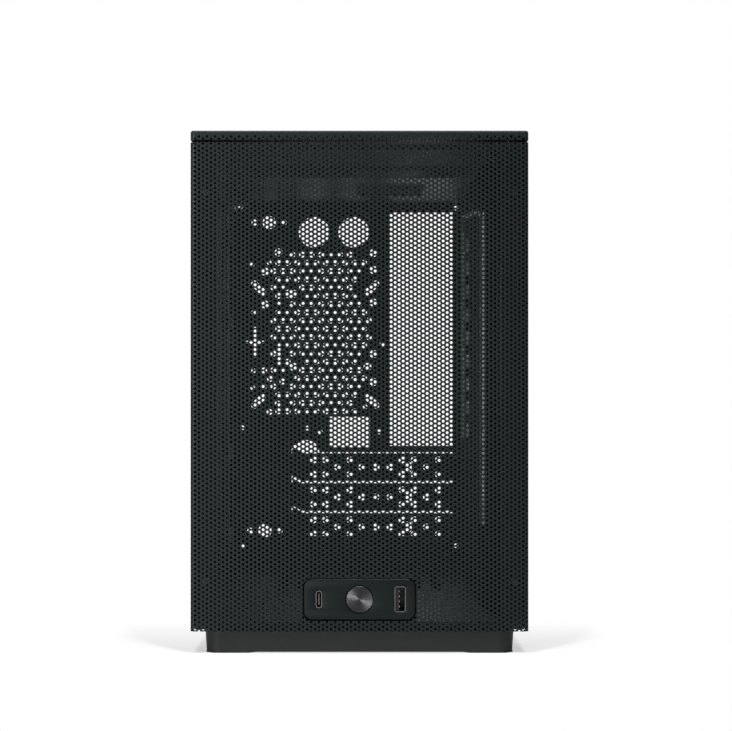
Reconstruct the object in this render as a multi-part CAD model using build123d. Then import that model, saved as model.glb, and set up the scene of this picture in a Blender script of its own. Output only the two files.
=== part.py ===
"""A small computer case for a mini ITX board, in folded and perforated sheet metal.

A chassis of folded sheets carries the board on a tray, the slot covers and the
front sockets. Four mesh panels snap on to it with ball studs: front, top and
two sides. It stands on a moulded base. Millimetres, +Z up, +Y to the back and
+X to the right of someone who faces the front. The origin is on the ground,
under the middle of the whole case.
"""

from build123d import *
from math import ceil, cos, radians, sin, sqrt
import os

os.makedirs("parts", exist_ok=True)

# Overall sizes
case_width = 174.0        # over the two side panels
body_depth = 330.0        # from the front mesh to the back of the rear panel

# Sheet metal
panel_sheet = 1.2         # thickness of the four outer panels
chassis_sheet = 1.0       # thickness of the chassis pieces
panel_gap = 0.4           # clearance between an outer panel and what it covers
bend = 2.0                # outside radius of a fold

# Base
pad_height = 0.5
pad_size = 26.0
pad_corner = 4.0
skirt_height = 10.8
skirt_side_inset = 7.05   # of its top from the side of the case
skirt_inset = 2.0         # behind the front mesh and ahead of the rear panel
skirt_draft = 3.5         # degrees that its walls lean in towards the ground
skirt_corner = 8.0
skirt_wall = 3.0
skirt_rim = 27.0          # width of the flat rim under the case
skirt_rim_height = 2.5

# Top cover and front panel
cover_lip = 4.9           # height of the folded edge of the top cover
cover_gap = 1.1           # open line between the cover and the panels
front_return = 14.0       # depth of the front panel's folded sides

# Mesh, a staggered pattern of hexagonal openings in upright columns
mesh_pitch = 26.15        # from one opening to the next in a column of the front
side_pitch = 52.0         # the same on the side panels and the top cover
mesh_open = 0.60          # width of an opening as a share of the pitch
mesh_edge = 3.0           # solid edge that is left round a patterned area

# Chassis
frame_side = 11.5         # width of the front frame beside its window
frame_top = 3.0
frame_bottom = 4.0
frame_setback = 9.0       # from the front mesh to the front frame
frame_flange = 20.0       # depth of the folded sides of the frame and rear panel
floor_flange = 14.0       # height of the folded sides of the floor and the top
floor_slots = 9
floor_slot_width = 6.0
floor_slot_length = 92.0
floor_slot_land = 6.0
floor_slot_setback = 85.0   # from the rear panel to the slots' middle
top_window_side = 17.4    # of the chassis top, beside its window
top_window_margin = 12.0  # of the chassis top, ahead of its window
top_window_length = 146.0
top_slot_width = 43.0     # rounded cable slot in the rear half of the chassis top
top_slot_length = 86.0
top_slot_x = 19.0
top_slot_setback = 91.0   # from the rear panel to the slot's middle
top_slot_corner = 9.0
post_width = 18.0         # upright strips that carry the rear snaps
post_setback = 105.0      # from the rear panel to the middle of a post

# Board position, after the usual form factor
board_size = 170.18
board_thickness = 1.57
board_edge_inset = 6.35   # from the side edges of the board to its holes
board_hole_front = 165.1  # from the rear edge of the board to its front holes
board_hole_rear = 10.16
board_hole_step = 33.02   # the upper rear hole stands this far from the rear edge
board_hole_to_wall = 12.27
standoff_height = 6.35
standoff_flats = 5.0
standoff_bore = 2.5
board_top_room = 11.055   # from the board up to the top edge of the panels
aperture_width = 44.45    # opening for the board's sockets
aperture_short = 11.43    # by which it is lower than the board
aperture_below_board = 3.81
tray_inset = 16.765       # from the outside of the chassis to the tray
tray_front_setback = 106.0  # from the front mesh to the front edge of the tray
tray_flange = 11.0
cooler_window = 96.0      # square cut-out in the tray behind the processor
cooler_corner = 8.0

# Slots for cards
slot_count = 3
slot_pitch = 20.32
slot_gap = 1.6            # open line between two covers
slot_rise = 30.61         # from the lower edge of the panels to the lowest cover's middle
slot_length = 102.7
slot_right_inset = 0.525  # of the slots' right end from the aperture's right edge
slot_overlap = 3.0        # of a cover on the inside of the rear panel
slot_drop = 14.3          # from the aperture down to the first cover's middle
slot_tab_offset = 6.7     # from the slots' left end to where the covers fold out to a tab
slot_tab_reach = 9.5      # how far the tabs stand out behind the rear panel
slot_tab_rise = 3.4       # of a cover's lower and upper edge towards its tab
slot_seat = 1.9           # of the lowest cover on the sheet below it
cover_hole = 4.8
cover_hole_rise = 4.9     # of the upper and lower rows of holes
cover_hole_step = 8.25    # along the cover
cover_hole_margin = 7.5   # from the slots' left end to the first hole
cover_group_spacing = 60.1  # between the left and the right group of holes
cover_long_hole = 7.6     # height of the long hole in the right group
slot_screw_bore = 3.0
slot_screw_head = 6.4
slot_screw_head_height = 2.2
slot_screw_length = 5.0
finger_notch_width = 19.0
finger_notch_height = 8.3
finger_notch_offset = 1.9   # of its middle from the slots' left end

# Other openings of the rear panel
tube_hole = 20.8          # two holes for coolant tubes or cables
tube_hole_spacing = 27.0
tube_hole_offset = 37.475  # from the aperture to the middle of both
tube_hole_drop = 20.8     # from the top edge of the rear panel to their middle
inlet_width = 27.5
inlet_height = 20.7
inlet_offset = 26.675     # from the aperture
inlet_rise = 95.1         # from the lower edge of the rear panel to its middle
inlet_screw_spacing = 40.0
inlet_screw_hole = 3.2
fan_shift = 5.66          # of the fan from the middle between the aperture and the side
fan_drop = 97.2           # from the top edge of the rear panel to the fan's middle
fan_slot_margin = 14.24   # from its screw slots to the aperture's plane, at equal room
fan_slot_length = 12.5
fan_slot_width = 4.5
fan_slot_corner = 1.3
fan_vent_side = 22.4      # from the side of the rear panel to the vent
fan_vent_gap = 12.0       # from the vent to the aperture
fan_vent_drop = 33.0      # from the top edge of the rear panel
fan_vent_foot = 2.0       # above the inlet
fan_vent_pitch = 12.3
fan_vent_open = 0.60
fan_slot_land = 4.5       # solid metal kept round a screw slot
grip_hole = 9.0           # round hole with a small hole each side of it
grip_side_hole = 4.0
grip_side_spacing = 20.0
grip_side_inset = 22.6    # from the side of the rear panel
grip_inset = 14.2         # from the top edge of the rear panel
grip_rise = 28.0          # from the lower edge of the rear panel
frame_screw_hole = 3.0
frame_screw_inset = 4.6   # from the side edge of the rear panel
frame_screw_rise = 17.4
frame_screw_drop = 4.0

# Front sockets and power button
plate_width = 57.0
plate_height = 20.7
plate_corner = 4.0
plate_thickness = 2.5
plate_chamfer = 0.4
plate_rise = 16.5         # from the lower edge of the front panel to its middle
button_width = 13.7
button_proud = 0.5
button_travel = 0.8
button_clearance = 0.3
button_rim = 1.2          # how far the collar behind the plate is wider
button_collar = 1.2
button_height = 4.5
button_stem = 4.0
button_bevel = 0.4
socket_offset = 20.9      # of each socket from the button, sideways
usb_a_width = 13.1
usb_a_height = 5.7
usb_c_width = 8.94
usb_c_height = 3.2
usb_c_corner = 1.55
socket_wall = 0.35
socket_clearance = 0.2
usb_a_tongue = 1.9
usb_c_tongue = 0.7
tongue_setback = 1.4      # of the tongues behind the mouths of the sockets
board_setback = 16.1      # from the front mesh to the face of the socket board
socket_board_thickness = 1.6
socket_board_width = 56.0
socket_board_height = 17.0
switch_size = 8.0
switch_height = 6.0
switch_bore_depth = 3.4
boss_offset = 25.9
boss_width = 3.2
boss_pilot = 1.6
small_screw_head = 3.0
small_screw_head_height = 1.2
small_screw_length = 6.0
bracket_width = 60.0
bracket_height = 25.0
bracket_foot = 12.0
bracket_window_width = 40.0
bracket_window_height = 12.0

# Ball studs and the clips that hold them
stud_ball = 5.0
stud_neck = 3.0
stud_ball_length = 3.2
stud_taper = 25.0         # degrees that a ball end slopes to each side of its waist
clip_size = 9.0
clip_height = 3.0
clip_bore = 5.6
few_sides = 8             # of studs, small holes and small screws, to keep the model light
stud_hole = 6.4           # square holes of the chassis that the studs pass
clip_margin = 0.4         # from a clip to the fold beside it
side_row_inset = 32.55    # from the ends of a side panel to its outer rows of studs
side_row_step = 52.4      # from an outer row to the inner row beside it
front_row_setback = 20.0  # from the front mesh to the front studs of a side panel
corner_stud_rise = 26.0
cover_stud_inset = 12.0   # of the top cover's studs from both ends of the chassis
thread_gap = 0.05         # between a screw and the thread that it turns in

# Places that follow from the sizes above
front_y = -(button_proud + body_depth + slot_tab_reach) / 2 + button_proud
rear_y = front_y + body_depth
base_z = pad_height + skirt_height
first_slot_z = base_z + slot_rise + (slot_count - 1) * slot_pitch
board_low_z = first_slot_z - board_thickness / 2
panel_top = board_low_z + board_size + board_top_room
case_height = panel_top + cover_gap + cover_lip
panel_height = panel_top - base_z
panel_middle = (panel_top + base_z) / 2
panel_inside = case_width / 2 - panel_sheet
chassis_half = panel_inside - panel_gap
inner_half = chassis_half - chassis_sheet
post_half = inner_half - chassis_sheet
frame_y = front_y + frame_setback
frame_back_y = frame_y + chassis_sheet
rear_inside_y = rear_y - chassis_sheet
side_front_y = front_y + front_return + panel_gap
side_length = rear_y - side_front_y
post_y = rear_y - post_setback
outer_row = panel_height / 2 - side_row_inset
inner_row = outer_row - side_row_step
tray_x = chassis_half - tray_inset
tray_front_y = front_y + tray_front_setback
aperture_height = board_size - aperture_short
aperture_z = first_slot_z + slot_drop + aperture_height / 2
aperture_right = tray_x - standoff_height - board_thickness + aperture_below_board
aperture_left = aperture_right - aperture_width
board_rear_y = rear_inside_y - board_hole_to_wall + board_hole_rear
slot_height = slot_pitch - slot_gap
slot_right = aperture_right - slot_right_inset
slot_left = slot_right - slot_length
slot_tab_left = slot_left - slot_tab_offset
inlet_x = aperture_left - inlet_offset
inlet_z = base_z + inlet_rise
fan_x = (aperture_left - chassis_half) / 2 + fan_shift
fan_z = panel_top - fan_drop
fan_slot_reach = (aperture_left + chassis_half) / 2 - fan_slot_margin
plate_z = base_z + plate_rise
plate_back_y = front_y + plate_thickness
socket_board_y = front_y + board_setback
clear = 2.0               # how far a cutting tool runs past what it cuts


def block(x0, x1, y0, y1, z0, z1):
    """A box between two corners."""
    return Pos((x0 + x1) / 2, (y0 + y1) / 2, (z0 + z1) / 2) * Box(x1 - x0, y1 - y0, z1 - z0)


def upright(sketch, y_front, y_back):
    """A sketch drawn in x and z, given its thickness from y_front to y_back."""
    return Pos(0, y_back, 0) * Rot(90, 0, 0) * extrude(sketch, y_back - y_front)


def sideways(sketch, x_low, x_high):
    """A sketch drawn in y and z, given its thickness from x_low to x_high."""
    return extrude(Plane.YZ.offset(x_low) * sketch, x_high - x_low)


def flat(sketch, z_low, z_high):
    """A sketch drawn in x and y, given its thickness from z_low to z_high."""
    return extrude(Pos(0, 0, z_low) * sketch, z_high - z_low)


def mesh(width, height, pitch, share=mesh_open, keep=lambda u, v: True):
    """Hexagonal openings in staggered columns that fill a rectangle about the origin.

    keep says whether an opening with its middle at u, v is wanted.
    """
    column = pitch * sqrt(3) / 2
    radius = pitch * share / sqrt(3)
    reach_u = width / 2 - mesh_edge - radius
    reach_v = height / 2 - mesh_edge - radius
    columns = ceil(reach_u / column)
    rows = ceil(reach_v / pitch) + 1
    openings = Sketch()
    for i in range(-columns, columns + 1):
        for j in range(-rows, rows + 1):
            u, v = i * column, (j + (i % 2) / 2) * pitch
            if abs(u) <= reach_u and abs(v) <= reach_v and keep(u, v):
                openings += Pos(u, v) * RegularPolygon(radius, 6)
    return openings


def cut_corners(width, height, corner):
    """A rectangle with its corners cut off at 45 degrees."""
    return chamfer(Rectangle(width, height).vertices(), corner)


def small_hole(diameter):
    """A small round hole, drawn with few flat sides that a round of this diameter just fits."""
    return RegularPolygon(diameter / 2, few_sides, major_radius=False)


# Outer panels

def front_panel():
    """Mesh sheet with both sides folded back; a window clears the socket plate."""
    outside = block(-case_width / 2, case_width / 2, front_y, front_y + front_return,
                    base_z, panel_top)
    outside = fillet(outside.edges().filter_by(Axis.Z).group_by(Axis.Y)[0], bend)
    inside = block(-panel_inside, panel_inside, front_y + panel_sheet,
                   front_y + front_return + clear, base_z - clear, panel_top + clear)
    inside = fillet(inside.edges().filter_by(Axis.Z).group_by(Axis.Y)[0], bend - panel_sheet)
    window = RectangleRounded(plate_width + 2 * panel_gap, plate_height + 2 * panel_gap,
                              plate_corner + panel_gap)
    land_x = plate_width / 2 + mesh_pitch * mesh_open
    land_z = plate_height / 2 + mesh_pitch * mesh_open

    def clear_of_plate(u, v):
        return abs(u) > land_x or abs(v + panel_middle - plate_z) > land_z

    openings = Pos(0, panel_middle) * mesh(case_width - 2 * bend, panel_height, mesh_pitch,
                                           keep=clear_of_plate)
    cut = upright(openings + Pos(0, plate_z) * window, front_y - clear,
                  front_y + panel_sheet + clear)
    return outside - inside - cut


def side_panel(side):
    """Flat mesh sheet; side is -1 on the left and 1 on the right."""
    low, high = sorted((side * panel_inside, side * case_width / 2))
    sheet = Rectangle(side_length, panel_height) - mesh(side_length, panel_height, side_pitch)
    return sideways(Pos((side_front_y + rear_y) / 2, panel_middle) * sheet, low, high)


def top_cover():
    """Mesh sheet with all four edges folded down."""
    outside = block(-case_width / 2, case_width / 2, front_y, rear_y,
                    case_height - cover_lip, case_height)
    outside = fillet(outside.edges().filter_by(Axis.Z), bend)
    outside = fillet(outside.faces().sort_by(Axis.Z)[-1].edges(), panel_sheet)
    inside = block(-panel_inside, panel_inside, front_y + panel_sheet, rear_y - panel_sheet,
                   case_height - cover_lip - clear, case_height - panel_sheet)
    inside = fillet(inside.edges().filter_by(Axis.Z), bend - panel_sheet)
    openings = Rot(0, 0, 90) * mesh(body_depth - 2 * bend, case_width - 2 * bend, side_pitch)
    middle_y = (front_y + rear_y) / 2
    return outside - inside - flat(Pos(0, middle_y) * openings, case_height - 2 * panel_sheet,
                                   case_height + clear)


# Snaps: each place is where a stud's axis meets the inner face of its panel

def stud(length):
    """A pin with a swollen end, from the origin along +Z."""
    waist = RegularPolygon(stud_ball / 2, few_sides)
    half_ball = extrude(waist, stud_ball_length / 2, taper=stud_taper)
    ball = half_ball + Rot(180, 0, 0) * half_ball
    neck = extrude(RegularPolygon(stud_neck / 2, few_sides), length - stud_ball_length / 2)
    return neck + Pos(0, 0, length - stud_ball_length / 2) * ball


def clip():
    """A square spring clip with a round mouth, from the origin along +Z."""
    return extrude(Rectangle(clip_size, clip_size) - small_hole(clip_bore), clip_height)


def side_snaps():
    """Places of a side panel's snaps: y, z and the plane of the sheet that holds the clip."""
    places = [(post_y, panel_middle + row, post_half)
              for row in (-outer_row, -inner_row, inner_row, outer_row)]
    places += [(front_y + front_row_setback, panel_middle + row, chassis_half)
               for row in (-outer_row, outer_row)]
    return places


def front_snaps():
    """Places of the front panel's snaps, x and z."""
    across = inner_half - clip_margin - clip_size / 2
    return [(x, z) for x in (-across, across)
            for z in (base_z + corner_stud_rise, panel_top - corner_stud_rise)]


def cover_snaps():
    """Places of the top cover's snaps, x and y."""
    across = post_half - clip_margin - clip_size / 2
    return [(x, y) for x in (-across, across)
            for y in (frame_back_y + cover_stud_inset, rear_inside_y - cover_stud_inset)]


def side_studs(side):
    """Ball studs on the inner face of a side panel."""
    pins = []
    for y, z, plane in side_snaps():
        length = panel_inside - plane + chassis_sheet + clip_height
        pins.append(Pos(side * panel_inside, y, z) * Rot(0, -90 * side, 0) * stud(length))
    return Compound(children=pins)


def side_clips(side):
    """Clips behind the chassis sheet for the studs of a side panel."""
    clips = []
    for y, z, plane in side_snaps():
        clips.append(Pos(side * (plane - chassis_sheet), y, z) * Rot(0, -90 * side, 0) * clip())
    return Compound(children=clips)


def front_studs():
    """Ball studs behind the front panel."""
    length = frame_back_y - front_y - panel_sheet + clip_height
    return Compound(children=[Pos(x, front_y + panel_sheet, z) * Rot(-90, 0, 0) * stud(length)
                              for x, z in front_snaps()])


def front_clips():
    """Clips behind the front frame."""
    return Compound(children=[Pos(x, frame_back_y, z) * Rot(-90, 0, 0) * clip()
                              for x, z in front_snaps()])


def cover_studs():
    """Ball studs under the top cover."""
    length = case_height - panel_sheet - (panel_top - chassis_sheet) + clip_height
    return Compound(children=[Pos(x, y, case_height - panel_sheet) * Rot(180, 0, 0) * stud(length)
                              for x, y in cover_snaps()])


def cover_clips():
    """Clips under the chassis top."""
    return Compound(children=[Pos(x, y, panel_top - chassis_sheet) * Rot(180, 0, 0) * clip()
                              for x, y in cover_snaps()])


# Chassis

def front_frame():
    """Upright frame behind the front mesh, with both sides folded back."""
    high = (base_z + frame_bottom + panel_top - frame_top) / 2
    window = Pos(0, high) * Rectangle(2 * (chassis_half - frame_side),
                                      panel_height - frame_top - frame_bottom)
    plate = Pos(0, panel_middle) * Rectangle(2 * chassis_half, panel_height) - window
    for x, z in front_snaps():
        plate -= Pos(x, z) * Rectangle(stud_hole, stud_hole)
    frame = upright(plate, frame_y, frame_back_y)
    flange = Pos(frame_back_y + frame_flange / 2, panel_middle) * Rectangle(frame_flange,
                                                                           panel_height)
    for row in (-outer_row, outer_row):
        flange -= Pos(front_y + front_row_setback, panel_middle + row) * Rectangle(stud_hole,
                                                                                  stud_hole)
    frame += sideways(flange, inner_half, chassis_half)
    frame += sideways(flange, -chassis_half, -inner_half)
    return frame


def channel(z_plate, z_flange):
    """A sheet between the front frame and the rear panel, with both sides folded."""
    low, high = sorted((z_plate, z_plate + (chassis_sheet if z_flange > z_plate
                                            else -chassis_sheet)))
    plate = block(-inner_half, inner_half, frame_back_y, rear_inside_y, low, high)
    low, high = sorted((z_plate, z_flange))
    plate += block(-inner_half, -post_half, frame_back_y, rear_inside_y, low, high)
    plate += block(post_half, inner_half, frame_back_y, rear_inside_y, low, high)
    return plate


def chassis_floor():
    """Bottom of the chassis, with a row of long air slots in its rear half."""
    floor = channel(base_z, base_z + floor_flange)
    pitch = floor_slot_width + floor_slot_land
    for i in range(floor_slots):
        x = (i - (floor_slots - 1) / 2) * pitch
        hole = Pos(x, rear_y - floor_slot_setback) * Rectangle(floor_slot_width,
                                                               floor_slot_length)
        floor -= flat(hole, base_z - clear, base_z + chassis_sheet + clear)
    return floor


def chassis_top():
    """Top of the chassis: an open front half, and a cable slot in the rear half."""
    top = channel(panel_top, panel_top - floor_flange)
    window_y = frame_back_y + top_window_margin + top_window_length / 2
    cut = Pos(0, window_y) * RectangleRounded(2 * (post_half - top_window_side),
                                              top_window_length, top_slot_corner)
    cut += Pos(top_slot_x, rear_y - top_slot_setback) * RectangleRounded(
        top_slot_width, top_slot_length, top_slot_corner)
    for x, y in cover_snaps():
        cut += Pos(x, y) * Rectangle(stud_hole, stud_hole)
    return top - flat(cut, panel_top - chassis_sheet - clear, panel_top + clear)


def side_post(side):
    """Upright strip between the folded sides of the floor and the top."""
    strip = Pos(post_y, panel_middle) * Rectangle(post_width, panel_height - 2 * chassis_sheet)
    for row in (-outer_row, -inner_row, inner_row, outer_row):
        strip -= Pos(post_y, panel_middle + row) * Rectangle(stud_hole, stud_hole)
    low, high = sorted((side * (post_half - chassis_sheet), side * post_half))
    return sideways(strip, low, high)


def slot_middles():
    """Heights of the card slots, from the top one down."""
    return [first_slot_z - i * slot_pitch for i in range(slot_count)]


def rear_vent():
    """The staggered air holes of the fan in level rows, clear of its four screw slots."""
    left, right = fan_vent_side - chassis_half, aperture_left - fan_vent_gap
    top = panel_top - fan_vent_drop
    low = inlet_z + inlet_height / 2 + fan_vent_foot
    middle_x, middle_z = (left + right) / 2, (low + top) / 2
    land = fan_slot_length / 2 + fan_slot_land

    def clear_of_slots(v, u):
        off_x = abs(abs(middle_x - u - fan_x) - fan_slot_reach)
        off_z = abs(abs(middle_z + v - fan_z) - fan_slot_reach)
        return max(off_x, off_z) > land

    pattern = mesh(top - low, right - left, fan_vent_pitch, fan_vent_open, clear_of_slots)
    return Pos(middle_x, middle_z) * Rot(0, 0, 90) * pattern


def rear_openings():
    """All that is cut out of the rear panel, drawn in x and z."""
    cut = Pos(aperture_right - aperture_width / 2, aperture_z) * Rectangle(aperture_width,
                                                                          aperture_height)
    tube_hole_x = aperture_left - tube_hole_offset
    for side in (-1, 1):
        cut += Pos(tube_hole_x + side * tube_hole_spacing / 2,
                   panel_top - tube_hole_drop) * Circle(tube_hole / 2)
        cut += Pos(inlet_x + side * inlet_screw_spacing / 2, inlet_z) * Circle(
            inlet_screw_hole / 2)
    cut += Pos(inlet_x, inlet_z) * Rectangle(inlet_width, inlet_height)
    screw_slot = cut_corners(fan_slot_length, fan_slot_width, fan_slot_corner)
    for u in (-1, 1):
        for v in (-1, 1):
            place = Pos(fan_x + u * fan_slot_reach, fan_z + v * fan_slot_reach)
            cut += place * Rot(0, 0, u * v * 45) * screw_slot
    cut += rear_vent()
    grip_x = grip_side_inset - chassis_half
    for z in (panel_top - grip_inset, base_z + grip_rise):
        cut += Pos(grip_x, z) * Circle(grip_hole / 2)
        for side in (-1, 1):
            cut += Pos(grip_x + side * grip_side_spacing / 2, z) * small_hole(grip_side_hole)
    for x in (frame_screw_inset - chassis_half, aperture_right + chassis_sheet):
        for z in (base_z + frame_screw_rise, panel_top - frame_screw_drop):
            cut += Pos(x, z) * small_hole(frame_screw_hole)
    middles = slot_middles()
    window_top = middles[0] + slot_height / 2 + slot_gap / 2
    window_low = middles[-1] - slot_height / 2 + slot_seat
    window_left = slot_tab_left - chassis_sheet
    cut += Pos((window_left + slot_right) / 2, (window_top + window_low) / 2) * Rectangle(
        slot_right - window_left, window_top - window_low)
    cut += Pos(slot_left + finger_notch_offset, window_top) * Ellipse(finger_notch_width / 2,
                                                                     finger_notch_height)
    return cut


def slot_bores(heights, x_low, x_high):
    """Threaded holes for the screws of the slot covers."""
    bore = small_hole(slot_screw_bore + 2 * thread_gap)
    places = Sketch() + [Pos(rear_y + slot_tab_reach / 2, z) * bore for z in heights]
    return sideways(places, x_low, x_high)


def rear_panel():
    """Back of the chassis: aperture, fan vent, inlet, slots, and a fold for the tabs."""
    outline = Pos(0, panel_middle) * Rectangle(2 * chassis_half, panel_height)
    panel = upright(outline - rear_openings(), rear_inside_y, rear_y)
    for side in (-1, 1):
        low, high = sorted((side * inner_half, side * chassis_half))
        panel += block(low, high, rear_inside_y - frame_flange, rear_inside_y, base_z, panel_top)
    middles = slot_middles()
    fold_x = slot_tab_left - chassis_sheet
    fold = block(fold_x - chassis_sheet, fold_x, rear_inside_y, rear_y + slot_tab_reach,
                 middles[-1] - slot_pitch / 2, middles[0] + slot_pitch / 2)
    return panel + fold - slot_bores(middles, fold_x - chassis_sheet - clear, fold_x + clear)


def motherboard_tray():
    """Upright sheet that carries the board, with a folded front edge."""
    low, high = base_z + chassis_sheet, panel_top - chassis_sheet
    sheet = Pos((tray_front_y + rear_inside_y) / 2, (low + high) / 2) * Rectangle(
        rear_inside_y - tray_front_y, high - low)
    board_y = board_rear_y - board_size / 2
    board_z = board_low_z + board_size / 2
    sheet -= Pos(board_y, board_z) * RectangleRounded(cooler_window, cooler_window, cooler_corner)
    tray = sideways(sheet, tray_x, tray_x + chassis_sheet)
    tray += block(tray_x, tray_x + tray_flange, tray_front_y, tray_front_y + chassis_sheet,
                  low, high)
    return tray


def standoff_places():
    """Where the board is screwed down, as y and z."""
    low = board_low_z + board_edge_inset
    high = board_low_z + board_size - board_edge_inset
    front = board_rear_y - board_hole_front
    return [(front, low), (front, high), (board_rear_y - board_hole_rear, low),
            (board_rear_y - board_hole_step, high)]


def standoffs():
    """Hexagonal spacers with a threaded bore, on the tray."""
    spacer = extrude(RegularPolygon(standoff_flats / 2, 6, major_radius=False)
                     - Circle(standoff_bore / 2), standoff_height)
    return Compound(children=[Pos(tray_x, y, z) * Rot(0, -90, 0) * spacer
                              for y, z in standoff_places()])


# Slot covers

def cover_holes(middle):
    """Round holes of a slot cover in two groups, each with an upper, a middle and a lower row."""
    first = slot_left + cover_hole_margin
    second = first + cover_group_spacing
    hole = RegularPolygon(cover_hole / 2, 6)
    holes = Sketch()
    for start in (first, second):
        for steps in (0, 1, 3):
            for rise in (-cover_hole_rise, cover_hole_rise):
                holes += Pos(start + steps * cover_hole_step, middle + rise) * hole
    last_left, first_right = first + 4 * cover_hole_step, second - cover_hole_step
    between = (last_left + first_right) / 2
    for x in (first + 2 * cover_hole_step, last_left, between, first_right,
              second + 2 * cover_hole_step):
        holes += Pos(x, middle) * hole
    return holes + Pos(second + cover_hole_step / 2, middle) * Rectangle(cover_hole / 2,
                                                                         cover_long_hole)


def slot_cover(middle):
    """Perforated strip inside the rear panel, folded out to a screw tab at its left end."""
    low, high = middle - slot_height / 2, middle + slot_height / 2
    strip = Polygon((slot_left, low), (slot_right + slot_overlap, low),
                    (slot_right + slot_overlap, high), (slot_left, high),
                    (slot_tab_left, high + slot_tab_rise), (slot_tab_left, low + slot_tab_rise),
                    align=None)
    back = rear_inside_y
    cover = upright(strip - cover_holes(middle), back - chassis_sheet, back)
    tab = block(slot_tab_left - chassis_sheet, slot_tab_left, back - chassis_sheet,
                rear_y + slot_tab_reach, low + slot_tab_rise, high)
    return cover + tab - slot_bores([middle], slot_tab_left - chassis_sheet - clear,
                                    slot_tab_left + clear)


def slot_screws():
    """Screws through the tabs into the fold of the rear panel."""
    screw = extrude(RegularPolygon(slot_screw_head / 2, few_sides), slot_screw_head_height)
    screw += extrude(RegularPolygon(slot_screw_bore / 2, few_sides), -slot_screw_length)
    return Compound(children=[
        Pos(slot_tab_left, rear_y + slot_tab_reach / 2, z) * Rot(0, 90, 0) * screw
        for z in slot_middles()])


# Base

def skirt_middle_y():
    """Middle of the base, front to back."""
    return (front_y + rear_y) / 2


def base_skirt():
    """Moulded base with leaning walls and a flat rim round an open middle."""
    length = body_depth - 2 * skirt_inset
    skirt_width = case_width - 2 * skirt_side_inset
    outside = RectangleRounded(skirt_width, length, skirt_corner)
    hollow = RectangleRounded(skirt_width - 2 * skirt_wall, length - 2 * skirt_wall,
                              skirt_corner - skirt_wall)
    shell = extrude(outside, -skirt_height, taper=skirt_draft)
    shell -= extrude(hollow, -(skirt_height - skirt_rim_height), taper=skirt_draft)
    opening = RectangleRounded(skirt_width - 2 * skirt_rim, length - 2 * skirt_rim, skirt_corner)
    shell -= Pos(0, 0, clear) * extrude(opening, -(skirt_height + 2 * clear))
    return Pos(0, skirt_middle_y(), base_z) * shell


def foot_pads():
    """Four thin pads under the corners of the base."""
    lean = 2 * skirt_height * sin(radians(skirt_draft)) / cos(radians(skirt_draft))
    across = (case_width - 2 * skirt_side_inset - lean - pad_size) / 2
    along = (body_depth - 2 * skirt_inset - lean - pad_size) / 2
    pad = extrude(cut_corners(pad_size, pad_size, pad_corner), pad_height)
    return Compound(children=[Pos(x, skirt_middle_y() + y, 0) * pad
                              for x in (-across, across) for y in (-along, along)])


# Front sockets and power button

def socket_shell(shape, width, height, corner, x):
    """Upright thin-walled tube of a socket; shape draws its outline from width, height, corner."""
    outside = shape(height, width, corner)
    inside = shape(height - 2 * socket_wall, width - 2 * socket_wall, corner - socket_wall)
    return upright(Pos(x, plate_z) * (outside - inside), front_y, socket_board_y)


def io_plate():
    """Smooth plate round the button and sockets, with two bosses behind it."""
    outline = Pos(0, plate_z) * RectangleRounded(plate_width, plate_height, plate_corner)
    plate = upright(outline, front_y, plate_back_y)
    plate = chamfer(plate.faces().sort_by(Axis.Y)[0].edges(), plate_chamfer)
    cut = Pos(0, plate_z) * Circle(button_width / 2 + button_clearance)
    cut += Pos(-socket_offset, plate_z) * RectangleRounded(
        usb_c_height + 2 * socket_clearance, usb_c_width + 2 * socket_clearance,
        usb_c_corner + socket_clearance)
    cut += Pos(socket_offset, plate_z) * cut_corners(
        usb_a_height + 2 * socket_clearance, usb_a_width + 2 * socket_clearance, 2 * socket_wall)
    plate -= upright(cut, front_y - clear, plate_back_y + clear)
    for side in (-1, 1):
        place = Pos(side * boss_offset, plate_z)
        plate += upright(place * small_hole(boss_width), plate_back_y, socket_board_y)
        plate -= upright(place * small_hole(boss_pilot), socket_board_y - small_screw_length,
                         socket_board_y + clear)
    return plate


def power_button():
    """Round metal cap with a collar behind the plate and a stem to the switch."""
    face = front_y - button_proud
    cap = upright(Pos(0, plate_z) * Circle(button_width / 2), face, face + button_height)
    cap = chamfer(cap.faces().sort_by(Axis.Y)[0].edges(), button_bevel)
    collar_front = plate_back_y + button_clearance
    collar = Circle(button_width / 2 + button_rim)
    cap += upright(Pos(0, plate_z) * collar, collar_front, collar_front + button_collar)
    switch_front = socket_board_y - switch_height
    stem_end = switch_front + switch_bore_depth - button_travel - button_clearance
    stem = RegularPolygon(button_stem / 2, few_sides)
    return cap + upright(Pos(0, plate_z) * stem, face + button_height, stem_end)


def switch_body():
    """Sealed push switch on the board, with a bore for the button's stem."""
    front = socket_board_y - switch_height
    body = upright(Pos(0, plate_z) * Rectangle(switch_size, switch_size), front, socket_board_y)
    bore = Pos(0, plate_z) * small_hole(button_stem + 2 * button_clearance)
    return body - upright(bore, front - clear, front + switch_bore_depth)


def usb_a_shell():
    """Drawn metal shell of the wide socket."""
    return socket_shell(cut_corners, usb_a_width, usb_a_height, 2 * socket_wall, socket_offset)


def usb_a_tongue_block():
    """Plastic tongue of the wide socket, along the left wall inside its shell."""
    left = socket_offset - usb_a_height / 2 + socket_wall
    half = usb_a_width / 2 - socket_wall
    return block(left, left + usb_a_tongue, front_y + tongue_setback, socket_board_y,
                 plate_z - half + socket_wall, plate_z + half - socket_wall)


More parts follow.
